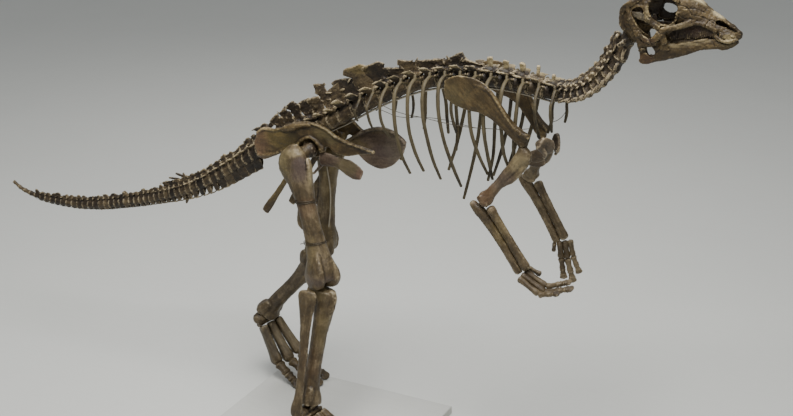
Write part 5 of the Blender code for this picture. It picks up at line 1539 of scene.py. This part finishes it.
# (name, place in the row, how long its metatarsal and its toe are beside the middle ones, bones)
TOES = (("inner", -1, 0.86, 0.78, 3), ("middle", 0, 1.0, 1.0, 4), ("outer", 1, 0.90, 0.84, 4))


def phalanx(clay, a, b, across, wide, thick):
    """One toe or finger bone from a to b: hollowed middle, broad ends, rounded far joint."""
    narrow = 0.76
    tube(clay, [(mix(a, b, t), wide * w, thick * h, 2.4) for t, w, h in (
        (0.02, 0.90, 0.90), (0.10, 1.02, 1.02), (0.26, 0.90, 0.86), (0.50, narrow, narrow),
        (0.72, narrow * 1.06, narrow), (0.88, 0.96, 0.86), (0.97, 0.86, 0.80))], across, 3, 20, (0.35, 0.7))


def hoof(clay, a, b, across, wide, thick):
    """Blunt, flat hoof bone from a to b."""
    tube(clay, [(mix(a, b, t), wide * w, thick * h, 2.4) for t, w, h in (
        (0.0, 0.80, 1.15), (0.14, 0.95, 1.20), (0.34, 0.86, 1.0), (0.60, 1.08, 0.80), (0.82, 1.02, 0.60),
        (0.95, 0.76, 0.42), (1.0, 0.50, 0.32))], across, 3, 22, (0.35, 0.6))


def build_foot(word, side, ankle, joint, settle, twist, patches):
    """Metatarsals and toes; settle is the share of a toe after which it lies on the base."""
    way, forward, level, across = foot_axes(side, ankle, joint, twist)
    for place, order, long, toe_long, bones in TOES:
        head = ankle + way * 0.032 + across * (0.0325 * order) + forward * 0.010
        knuckle = joint + across * (0.048 * order) - way * (1 - long) * 0.10
        clay = Clay()
        rows = [(mix(head, knuckle, t), wide, thick, 2.6) for t, wide, thick in (
            (0.0, 0.016, 0.0265), (0.05, 0.0168, 0.028), (0.18, 0.0172, 0.027), (0.50, 0.018, 0.024),
            (0.72, 0.0196, 0.024), (0.88, 0.0218, 0.0255), (0.97, 0.022, 0.0235), (1.0, 0.0195, 0.020))]
        tube(clay, rows, across, 4, 22, (0.25, 0.6))
        for edge in (-1, 1):
            ball(clay, mix(head, knuckle, 0.955) + across * (0.0098 * edge), across * 0.0085, way * 0.018,
                 way.cross(across) * 0.0205)
        one_bone("metatarsal_%s_%s" % (place, word), "%s_metatarsal_%s" % (word, place), "bone_tan", clay,
                 VOXEL_SMALL, way, rough=0.0011, patches=patches, rough_scale=45.0, seed=51 + order,
                 tint=0.3 * order)

        heading = (forward + level * 0.16 * order).normalized()
        reach = 0.150 * toe_long
        start = knuckle + way * 0.006 + heading * 0.003

        def toe_at(t, thick):
            point = start + heading * (reach * t)
            rest = 0.0012 + thick
            point.z = max(rest, start.z - (start.z - rest) * min(1.0, t / settle))
            return point

        shares = (0.0, 0.42, 0.68, 1.0) if bones == 3 else (0.0, 0.34, 0.52, 0.67, 1.0)
        piece = Piece("toe_%s_%s" % (place, word), "bone_tan", ["%s_toe_%s" % (word, place)])
        for k, (t0, t1) in enumerate(zip(shares, shares[1:])):
            clay = Clay()
            gap = 0.0035 / reach
            a = toe_at(t0 + gap, mix(0.0175, 0.011, t0))
            b = toe_at(t1 - gap, mix(0.0175, 0.011, t1) if k < bones - 1 else 0.005)
            if k == bones - 1:
                hoof(clay, a, b, level, 0.021, 0.011)
            else:
                phalanx(clay, a, b, level, mix(0.021, 0.0188, t0), mix(0.018, 0.013, t0))
            piece.press(clay, VOXEL_TOE, 2, heading, jitter(0.8))
        piece.build(rough=0.001, patches=patches, rough_scale=55.0, seed=55 + order)


# ---- shoulders and arms ------------------------------------------------------------------------
BLADE = (                   # (distance along the blade, offset, half width, half thickness)
    (0.000, -0.002, 0.0245, 0.013), (0.025, -0.008, 0.0225, 0.0115), (0.070, -0.010, 0.0215, 0.009),
    (0.120, -0.007, 0.029, 0.0072), (0.165, -0.008, 0.042, 0.006), (0.205, -0.020, 0.054, 0.0052),
    (0.240, -0.042, 0.055, 0.0048), (0.272, -0.068, 0.047, 0.0042), (0.292, -0.090, 0.030, 0.0036),
)


def build_scapula(word, side, glenoid, angle, patches):
    along = Vector((-math.cos(angle), 0, math.sin(angle)))
    across = Vector((math.sin(angle), 0, math.cos(angle)))
    start = glenoid + along * 0.033 + across * 0.016 + Y * (side * 0.002)

    def place(run, offset):
        point = start + along * run + across * offset
        point.y = start.y + side * 0.022 * math.sin(math.pi * min(1.0, run / 0.24) / 2)
        return point

    clay = Clay()
    tube(clay, [(place(run, offset), wide, thick, 2.8) for run, offset, wide, thick in BLADE], across, 5, 30,
         (0.5, 0.6))
    ridge = [(place(run, offset + wide * 0.80), 0.006, thick * 1.15 + 0.0012)
             for run, offset, wide, thick in BLADE[:7]]
    tube(clay, ridge, across, 4, 14)
    tube(clay, ((place(0.006, 0.014) + Y * side * 0.006, 0.010, 0.008),
                (place(0.035, 0.006) + Y * side * 0.007, 0.009, 0.006),
                (place(0.085, 0.000) + Y * side * 0.004, 0.009, 0.005),
                (place(0.150, -0.002) + Y * side * 0.001, 0.012, 0.004)),
         across)
    ball(clay, place(0.000, -0.014), along * 0.016, across * 0.018, Y * 0.016)
    one_bone("scapula_" + word, word + "_scapula", "bone_brown", clay,
             VOXEL_SMALL, along, rough=0.0012, patches=patches, rough_scale=40.0, seed=61 + side)


def build_shoulder_girdle(word, side, shoulder, patches):
    near = shoulder + Vector((0.034, -side * 0.008, 0.030))
    far = shoulder + Vector((0.060, -side * 0.052, 0.000))
    clay = Clay()
    tube(clay, ((near, 0.022, 0.011), (mix(near, far, 0.20), 0.025, 0.0105),
                (mix(near, far, 0.45), 0.027, 0.0085), (mix(near, far, 0.75), 0.025, 0.007),
                (far, 0.015, 0.0055)), Vector((0.2, 0, 1)))
    tube(clay, ((mix(near, far, 0.15) - Z * 0.014, 0.011, 0.008),
                (mix(near, far, 0.3) + Vector((0.006, 0, -0.030)), 0.008, 0.006),
                (mix(near, far, 0.45) + Vector((-0.004, 0, -0.040)), 0.005, 0.004)), X)
    one_bone("coracoid_" + word, word + "_coracoid", "bone_girdle", clay,
             VOXEL_SMALL, far - near, rough=0.0011, patches=patches, rough_scale=50.0, seed=63 + side)
    top = shoulder + Vector((0.020, -side * 0.072, -0.030))
    low = shoulder + Vector((-0.070, -side * 0.066, -0.062))
    clay = Clay()
    tube(clay, ((top, 0.018, 0.0045), (mix(top, low, 0.15), 0.0225, 0.0048),
                (mix(top, low, 0.38), 0.020, 0.0048), (mix(top, low, 0.62), 0.011, 0.0048),
                (mix(top, low, 0.85), 0.009, 0.0045), (low, 0.0095, 0.004)),
         Vector((0.4, 0, 1)))
    one_bone("sternal_plate_" + word, word + "_sternal_plate", "bone_girdle", clay,
             VOXEL_TOE, low - top, rough=0.001, patches=patches, rough_scale=50.0, seed=65 + side)


def build_arm(word, side, shoulder, elbow, wrist, patches):
    line = elbow - shoulder
    length = line.length
    ax = Axes(shoulder, line, side)
    clay = Clay()
    ax.loft(clay, ((0.006, -0.004, 0, 0.022, 0.016), (0.020, -0.002, 0, 0.028, 0.019, 2.4),
                   (length * 0.22, -0.001, 0, 0.023, 0.016), (length * 0.45, -0.002, 0, 0.0185, 0.015),
                   (length * 0.62, -0.001, 0, 0.017, 0.0148), (length * 0.80, 0.0, 0, 0.0185, 0.0152),
                   (length - 0.026, 0, 0, 0.026, 0.020), (length - 0.010, 0, 0, 0.023, 0.019)), 4, 24,
            (0.5, 0.4))
    ax.loft(clay, ((0.020, 0.018, 0.003, 0.010, 0.008), (length * 0.20, 0.022, 0.005, 0.011, 0.007, 2.6),
                   (length * 0.36, 0.023, 0.006, 0.011, 0.0064, 2.6),
                   (length * 0.47, 0.021, 0.006, 0.010, 0.0064, 2.6),
                   (length * 0.55, 0.015, 0.004, 0.008, 0.007), (length * 0.63, 0.009, 0.002, 0.008, 0.008)),
            4, 18)
    ball(clay, ax.at(0.012, -0.016, -0.002), ax.fore * 0.018, ax.out * 0.019, ax.down * 0.016)
    for o in (0.0135, -0.0135):
        ax.tube(clay, ((length - 0.018, 0.016, o, 0.0085, 0.012), (length - 0.011, 0.004, o, 0.010, 0.013),
                       (length - 0.017, -0.018, o, 0.0085, 0.012)), Y)
    one_bone("humerus_" + word, word + "_humerus", "bone_tan", clay,
             VOXEL_SMALL, ax.down, rough=0.0011, patches=patches, rough_scale=42.0, seed=71 + side)

    lower = wrist - elbow
    run = lower.normalized()
    front = (X - run * run.x).normalized()
    top = elbow + run * 0.030 + front * 0.017
    end = wrist - run * 0.004 + front * 0.016
    clay = Clay()
    tube(clay, [(mix(top, end, t), wide, thick) for t, wide, thick in (
        (0.0, 0.0155, 0.0138), (0.04, 0.0168, 0.0145), (0.13, 0.0145, 0.0118), (0.35, 0.0138, 0.0112),
        (0.60, 0.0145, 0.0115), (0.84, 0.0152, 0.0124), (0.96, 0.0165, 0.0145), (1.0, 0.0152, 0.0132))],
         front)
    one_bone("radius_" + word, word + "_radius", "bone_tan", clay,
             VOXEL_SMALL, run, rough=0.001, patches=patches, rough_scale=45.0, seed=73 + side)
    top = elbow - run * 0.016 - front * 0.030
    end = wrist - run * 0.004 - front * 0.0155
    clay = Clay()
    tube(clay, [(mix(top, end, t) + front * f, wide, thick) for t, f, wide, thick in (
        (0.0, 0, 0.011, 0.0115), (0.04, 0.001, 0.014, 0.0135), (0.12, 0.006, 0.019, 0.0165),
        (0.20, 0.008, 0.0185, 0.015), (0.36, 0.009, 0.0165, 0.0135), (0.62, 0.007, 0.015, 0.0126),
        (0.85, 0.003, 0.0142, 0.0122), (0.96, 0.0005, 0.0148, 0.013), (1.0, 0, 0.0135, 0.012))], front)
    one_bone("ulna_" + word, word + "_ulna", "bone_tan", clay,
             VOXEL_SMALL, run, rough=0.001, patches=patches, rough_scale=45.0, seed=75 + side)
    return run


# (name, place in the row, shares of the palm and of HAND_REACH, half width)
FINGERS = (("splint", -1.65, 0.52, 0.0, 0.0072), ("second", -0.55, 0.92, 0.34, 0.0108),
           ("third", 0.55, 1.0, 0.40, 0.0115), ("fourth", 1.65, 0.90, 0.30, 0.0102))


def build_hand(word, side, wrist, joint, tip, reach, fan, run, patches):
    palm = joint - wrist
    finger = (tip - joint).normalized()
    across = palm.cross(Vector((0, side, 0))).normalized()
    across = Y * (fan * side) + across * math.sqrt(1 - fan * fan)
    across = (across - palm.normalized() * across.dot(palm.normalized())).normalized()
    start = wrist + run * 0.010
    for place, order, palm_long, finger_long, wide in FINGERS:
        head = start + across * (0.017 * order)
        knuckle = wrist + palm * palm_long + across * (0.019 * order)
        piece = Piece("finger_%s_%s" % (place, word), "bone_tan", ["%s_finger_%s" % (word, place)])
        clay = Clay()
        tube(clay, [(mix(head, knuckle, t), wide * w, h) for t, w, h in (
            (0.0, 1.0, 0.0112), (0.06, 1.04, 0.0118), (0.25, 0.94, 0.0108), (0.60, 0.88, 0.010),
            (0.88, 1.06, 0.0114), (0.97, 1.02, 0.0108))], across, 4, 18)
        piece.press(clay, VOXEL_SLIVER, 2, palm, jitter(0.5))
        if finger_long:
            heading = (finger + across * 0.10 * order).normalized()
            first = knuckle + palm.normalized() * 0.006
            long = reach * finger_long
            for k, (t0, t1, w, h) in enumerate(((0.0, 0.50, 1.08, 0.0108), (0.53, 0.73, 1.04, 0.0098),
                                                (0.76, 1.0, 1.20, 0.0078))):
                clay = Clay()
                a = first + heading * (long * t0)
                b = first + heading * (long * t1)
                if k == 2:
                    hoof(clay, a, b, across, wide * w, h)
                else:
                    phalanx(clay, a, b, across, wide * w, h)
                piece.press(clay, VOXEL_FINGER_END, 2, heading, jitter(0.5))
        piece.build(rough=0.0008, patches=patches, rough_scale=55.0, seed=81 + int(2 * order))


# ---- mount ------------------------------------------------------------------------------------
WIRE_ACROSS = (0.13, 1.0, 0.21)     # no wire runs this way, so it can steer them all
WIRE_ROUGHNESS = 0.0001
WIRE_RUNS = (               # along the ribs of each side and the loop below the neck
    ((0.270, -0.099, 1.262), (0.334, -0.112, 1.246), (0.400, -0.122, 1.240), (0.453, -0.124, 1.239),
     (0.540, -0.122, 1.231), (0.618, -0.116, 1.227), (0.690, -0.104, 1.229), (0.754, -0.094, 1.231),
     (0.812, -0.080, 1.240)),
    ((0.191, 0.090, 1.170), (0.255, 0.104, 1.150), (0.330, 0.116, 1.156), (0.405, 0.122, 1.158),
     (0.480, 0.124, 1.150), (0.544, 0.122, 1.146), (0.620, 0.114, 1.156)),
    ((0.897, 0.012, 1.330), (0.906, 0.004, 1.300), (0.897, -0.004, 1.276), (0.880, -0.006, 1.258),
     (0.858, -0.004, 1.246)),
)
ROD_POINTS = ((-0.030, 0.088, 0.925), (-0.020, 0.092, 0.840), (-0.022, 0.094, 0.760), (-0.030, 0.094, 0.690))


def wire(points, radius, count, steps):
    """A bare steel wire or rod through points, as a skin."""
    clay = Clay()
    tube(clay, [(p, radius, radius, 2.0) for p in points], WIRE_ACROSS, steps, count)
    return bare_skin(clay)


def spine_bar():
    """Points of the bar under the backbone, from the shoulders to the hips."""
    front = TRUNK_START_X - 0.02
    run = SACRUM_START_X - 0.10 - TRUNK_START_X + 0.02
    points = []
    for k in range(31):
        x = front + run * k / 30
        centre, _, up = spine_at(x)
        points.append(centre - up * (between(CENTRUM_RADII, x) + 0.0048))
    return points


def build_mount():
    bar = Piece("mount_bar", "steel", ["mount_spine_bar"])
    bar.add(wire(spine_bar(), 0.0036, 16, 2))
    bar.build(WIRE_ROUGHNESS)
    wires = Piece("mount_wires", "wire", [])
    for points in WIRE_RUNS:
        wires.add(wire(points, 0.0011, 8, 8))
    for points in tie_rings():
        wires.add(wire(points, 0.0014, 8, 3))
    wires.build(WIRE_ROUGHNESS)
    rod = Piece("mount_rod", "steel", [])
    rod.add(wire(ROD_POINTS, 0.0022, 10, 6))
    rod.build(WIRE_ROUGHNESS)


def tie_rings():
    """Wire wound twice round the right thigh bone near its middle and above its lower end."""
    top = femur_top(RIGHT)
    knee = on_side(KNEE[RIGHT], RIGHT)
    ax = Axes(top, knee - top, RIGHT)
    length = (knee - top).length
    rings = []
    for share, fore, out, tilt in ((0.335, 0.0375, 0.0335, 0.16), (0.350, 0.0375, 0.0335, 0.10),
                                   (0.655, 0.0395, 0.0335, 0.13), (0.668, 0.040, 0.0335, 0.08)):
        ring = []
        for k in range(25):
            angle = 2 * math.pi * k / 24
            ring.append(ax.at(length * share + tilt * fore * math.cos(angle), fore * math.cos(angle),
                              out * math.sin(angle)))
        rings.append(ring)
    for share in (0.338, 0.658):
        rings.append([ax.at(length * share, -0.037 - 0.004 * k, 0.006 * k) for k in range(4)])
    return rings


def build_base():
    """The board under both feet, with a bevel round its upper edge."""
    low, high = (Vector(corner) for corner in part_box("stand_base"))
    bevel = 0.004
    mesh = bpy.data.meshes.new("base_board")
    points = []
    for z, inset in ((low.z, 0.0), (high.z - bevel, 0.0), (high.z - 0.3 * bevel, 0.3 * bevel),
                     (high.z, bevel)):
        points += [(low.x + inset, low.y + inset, z), (high.x - inset, low.y + inset, z),
                   (high.x - inset, high.y - inset, z), (low.x + inset, high.y - inset, z)]
    faces = [(3, 2, 1, 0), (12, 13, 14, 15)]
    for ring in range(3):
        for k in range(4):
            n = (k + 1) % 4
            faces.append((4 * ring + k, 4 * ring + n, 4 * ring + 4 + n, 4 * ring + 4 + k))
    mesh.from_pydata(points, [], faces)
    mesh.materials.append(FINISH["painted_base"])
    base = in_scene("base_board", mesh)
    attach(base, "root")
    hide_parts("stand_base")


# ---- room, lights and camera ----------------------------------------------------------------------
FLOOR_REACH = 9.0
LIGHTS = (                  # (name, place, aim, size, power)
    ("key", (0.7, -1.2, 4.6), (0.1, 0.0, 0.8), 2.2, 265.0),
    ("fill", (3.8, -4.2, 2.4), (0.2, 0.0, 0.9), 2.4, 22.0),
    ("back", (-1.8, 3.4, 3.6), (0.0, 0.0, 1.0), 2.0, 45.0),
)


def build_room():
    floor_mesh = bpy.data.meshes.new("floor")
    corners = [(FLOOR_REACH * x, FLOOR_REACH * y, 0) for x, y in ((-1, -1), (1, -1), (1, 1), (-1, 1))]
    floor_mesh.from_pydata(corners, [], [(0, 1, 2, 3)])
    floor_mesh.materials.append(board("floor_paint", srgb(216, 216, 209), srgb(206, 206, 199)))
    floor = in_scene("floor", floor_mesh)

    world = bpy.data.worlds.new("studio")
    world.use_nodes = True
    sky = world.node_tree.nodes["Background"]
    sky.inputs["Color"].default_value = (0.92, 0.96, 1.0, 1.0)
    sky.inputs["Strength"].default_value = 0.34
    bpy.context.scene.world = world
    for name, place, aim, size, power in LIGHTS:
        data = bpy.data.lights.new(name, "AREA")
        data.size = size
        data.energy = power
        light = in_scene(name, data)
        light.location = place
        light.rotation_euler = (Vector(aim) - Vector(place)).to_track_quat("-Z", "Y").to_euler()


def build_camera():
    """The photo's view, as it was solved on the hips, knees, feet and shoulders."""
    data = bpy.data.cameras.new("camera")
    data.lens = 63.56
    data.sensor_width = 36.0
    camera = in_scene("camera", data)
    camera.location = (2.3687, -3.9929, 2.631)
    camera.rotation_euler = (math.radians(69), 0, math.radians(27))
    bpy.context.scene.camera = camera


# ---- colour marks, as (centre, radius, colour, strength) in the skeleton's frame ----------------
def on_skull(marks):
    """Marks given in the skull's own frame, on both of its sides, carried to the skeleton's."""
    made = []
    for x, y, z, radius, colour, strength in marks:
        for side in (RIGHT, LEFT) if y else (RIGHT,):
            spot = SKULL_TO_WORLD @ Vector((x, side * y, z))
            made.append((tuple(spot), radius, colour, strength))
    return tuple(made)


SKULL_PATCHES = on_skull((
    (0.175, 0.034, 0.075, (0.050, 0.030, 0.024), UMBER, 0.40),
    (0.215, 0.030, 0.055, (0.030, 0.030, 0.018), UMBER, 0.35),
    (0.030, 0.052, 0.150, (0.040, 0.030, 0.020), UMBER, 0.35),
    (-0.030, 0.040, 0.100, (0.030, 0.030, 0.040), UMBER, 0.30),
    # painted highlight along the top of the skull, where the light from above falls
    (0.150, 0.000, 0.162, (0.060, 0.030, 0.014), PAINTED_HIGHLIGHT, 0.75),
    (0.200, 0.000, 0.120, (0.036, 0.024, 0.014), PAINTED_HIGHLIGHT, 0.70),
    (0.245, 0.000, 0.070, (0.034, 0.012, 0.012), PAINTED_HIGHLIGHT, 0.60),
    (0.100, 0.000, 0.175, (0.050, 0.040, 0.012), PAINTED_HIGHLIGHT, 0.60),
    (0.272, 0.034, 0.004, (0.018, 0.012, 0.007), CREAM, 0.35),
    (0.130, 0.052, 0.060, (0.040, 0.016, 0.007), CREAM, 0.12),
    (0.255, 0.036, -0.006, (0.032, 0.012, 0.005), CREAM, 0.30),
    (0.044, 0.062, 0.100, (0.007, 0.010, 0.030), CREAM, 0.25),
    (0.020, 0.048, 0.098, (0.030, 0.008, 0.014), GREY, 0.60),
    # painted shade inside the orbit and the temporal opening and in the recess of the upper tooth row
    (0.095, 0.000, 0.100, (0.052, 0.042, 0.052), UMBER, 0.85),
    (0.030, 0.020, 0.085, (0.040, 0.020, 0.050), UMBER, 0.8),
    (0.105, 0.022, 0.024, (0.026, 0.014, 0.026), UMBER, 0.95),
    (0.140, 0.022, 0.028, (0.030, 0.014, 0.026), UMBER, 0.95),
    (0.180, 0.021, 0.028, (0.030, 0.014, 0.026), UMBER, 0.95),
    (0.215, 0.021, 0.022, (0.022, 0.014, 0.018), UMBER, 0.9),
    (0.160, 0.016, 0.034, (0.050, 0.011, 0.014), RUST, 0.4),
    (0.040, 0.062, 0.024, (0.022, 0.020, 0.012), RUST, 0.2)))
JAW_PATCHES = on_skull((
    # painted highlight along the upper outer edge of the jaw
    (0.110, 0.040, -0.004, (0.022, 0.016, 0.005), CREAM, 0.24),
    (0.150, 0.036, -0.002, (0.034, 0.016, 0.005), CREAM, 0.28),
    (0.190, 0.032, 0.003, (0.022, 0.016, 0.005), CREAM, 0.30),
    (0.012, 0.050, -0.034, (0.026, 0.030, 0.018), RUST, 0.30),
    (0.070, 0.046, -0.020, (0.030, 0.030, 0.016), UMBER, 0.30),
    # painted shade on the lower tooth row inside the mouth
    (0.110, 0.020, 0.006, (0.030, 0.012, 0.012), UMBER, 0.85),
    (0.160, 0.018, 0.008, (0.036, 0.012, 0.012), UMBER, 0.85),
    (0.205, 0.016, 0.010, (0.026, 0.011, 0.012), UMBER, 0.85),
    (0.262, 0.020, -0.016, (0.024, 0.016, 0.010), CREAM, 0.25)))
HIP_PATCHES = (
    ((-0.205, -0.078, 1.050), (0.040, 0.03, 0.060), PINK, 0.30),
    ((-0.110, -0.078, 1.068), (0.070, 0.03, 0.034), OLIVE, 0.50),
    ((0.160, -0.090, 1.085), (0.100, 0.03, 0.040), UMBER, 0.30),
    ((0.150, -0.081, 1.005), (0.046, 0.03, 0.040), GREEN, 0.50),
    ((0.204, -0.085, 0.982), (0.018, 0.03, 0.026), PINK, 0.40),
    ((-0.120, -0.064, 0.900), (0.060, 0.03, 0.070), OLIVE, 0.35),
    ((-0.200, -0.060, 0.785), (0.025, 0.03, 0.025), UMBER, 0.5),
    ((0.090, 0.068, 1.030), (0.060, 0.03, 0.040), OLIVE, 0.5),
    ((0.200, 0.056, 1.110), (0.100, 0.03, 0.016), GREEN, 0.35),
    ((0.220, 0.060, 1.030), (0.040, 0.03, 0.030), PURPLE, 0.5),
    ((0.180, 0.060, 1.100), (0.070, 0.03, 0.014), UMBER, 0.25),
    ((0.250, -0.104, 1.086), (0.045, 0.03, 0.024), UMBER, 0.75),
    ((0.080, -0.082, 1.112), (0.050, 0.03, 0.026), GREEN, 0.40),
    ((0.000, -0.078, 1.088), (0.050, 0.02, 0.012), UMBER, 0.45),
    ((0.255, 0.058, 1.050), (0.045, 0.03, 0.050), GREY, 0.35))
LEG_PATCHES = {}
LEG_PATCHES[RIGHT] = (
    ((0.004, -0.158, 0.995), (0.030, 0.04, 0.050), PURPLE, 0.60),
    ((-0.064, -0.150, 1.005), (0.030, 0.05, 0.060), GREEN, 0.50),
    ((0.040, -0.150, 0.985), (0.012, 0.03, 0.040), CREAM, 0.30),
    # painted shade on the head of the thigh bone, deep in the hip socket
    ((0.020, -0.076, 1.045), (0.052, 0.04, 0.050), UMBER, 0.90),
    ((-0.018, -0.158, 1.052), (0.036, 0.04, 0.012), CREAM, 0.25),
    ((0.035, -0.175, 0.865), (0.050, 0.04, 0.030), RUST, 0.30),
    ((0.045, -0.185, 0.700), (0.030, 0.04, 0.060), OLIVE, 0.30),
    ((0.090, -0.190, 0.612), (0.050, 0.05, 0.024), PURPLE, 0.40),
    ((0.080, -0.170, 0.560), (0.050, 0.05, 0.020), CREAM, 0.20),
    ((0.110, -0.190, 0.420), (0.030, 0.05, 0.070), OLIVE, 0.30),
    ((0.070, -0.240, 0.300), (0.030, 0.04, 0.080), RUST, 0.20))
LEG_PATCHES[LEFT] = (
    ((0.000, 0.110, 0.900), (0.060, 0.06, 0.160), OLIVE, 0.30),
    ((-0.080, 0.120, 0.640), (0.060, 0.06, 0.080), OLIVE, 0.30),
    ((-0.240, 0.140, 0.400), (0.120, 0.06, 0.100), UMBER, 0.35),
    ((-0.385, 0.120, 0.225), (0.050, 0.08, 0.040), UMBER, 0.45),
    ((-0.300, 0.120, 0.150), (0.080, 0.08, 0.060), GREY, 0.30))
ARM_PATCHES = (
    ((0.690, -0.124, 1.010), (0.050, 0.04, 0.040), RUST, 0.45),
    ((0.745, -0.130, 1.070), (0.040, 0.04, 0.030), PURPLE, 0.35),
    ((0.740, -0.120, 0.880), (0.030, 0.04, 0.060), OLIVE, 0.30),
    ((0.800, -0.118, 1.140), (0.030, 0.04, 0.026), CREAM, 0.25),
    ((0.860, -0.120, 0.740), (0.060, 0.06, 0.040), UMBER, 0.35),
    ((0.560, -0.110, 1.330), (0.090, 0.04, 0.050), GREEN, 0.35),
    ((0.900, -0.060, 1.130), (0.040, 0.05, 0.020), GREY, 0.45),
    ((0.870, 0.060, 1.160), (0.040, 0.06, 0.040), UMBER, 0.35))


def build_all():
    build_camera()
    build_room()
    build_base()
    build_mount()
    build_tail()
    build_sacrum()
    build_trunk()
    build_neck()
    build_ribs()
    build_skull()
    build_jaw()
    for word, side in SIDES:
        build_ilium(word, side)
        build_ischium(word, side)
    build_pubes()
    for word, side in SIDES:
        knee, ankle, joint = (on_side(place[side], side) for place in (KNEE, ANKLE, TOE_JOINT))
        thigh = knee - hip_joint(side)
        turn = KNEE_TURN[side]
        twist = FOOT_TWIST[side]
        patches = LEG_PATCHES[side]
        build_femur(word, side, knee, turn, patches)
        build_crus(word, side, thigh, knee, ankle, joint, twist, 0.3 * turn, patches)
        build_foot(word, side, ankle, joint, TOE_SETTLE[side], twist, patches)
    for word, side in SIDES:
        shoulder, elbow, wrist = (on_side(place[side], side) for place in (SHOULDER, ELBOW, WRIST))
        joint, tip = (on_side(place[side], side) for place in (FINGER_JOINT, FINGER_TIP))
        build_scapula(word, side, shoulder, BLADE_ANGLE[side], ARM_PATCHES)
        build_shoulder_girdle(word, side, shoulder, ())
        run = build_arm(word, side, shoulder, elbow, wrist, ARM_PATCHES)
        build_hand(word, side, wrist, joint, tip, HAND_REACH[side], HAND_FAN[side], run, ARM_PATCHES)


build_all()
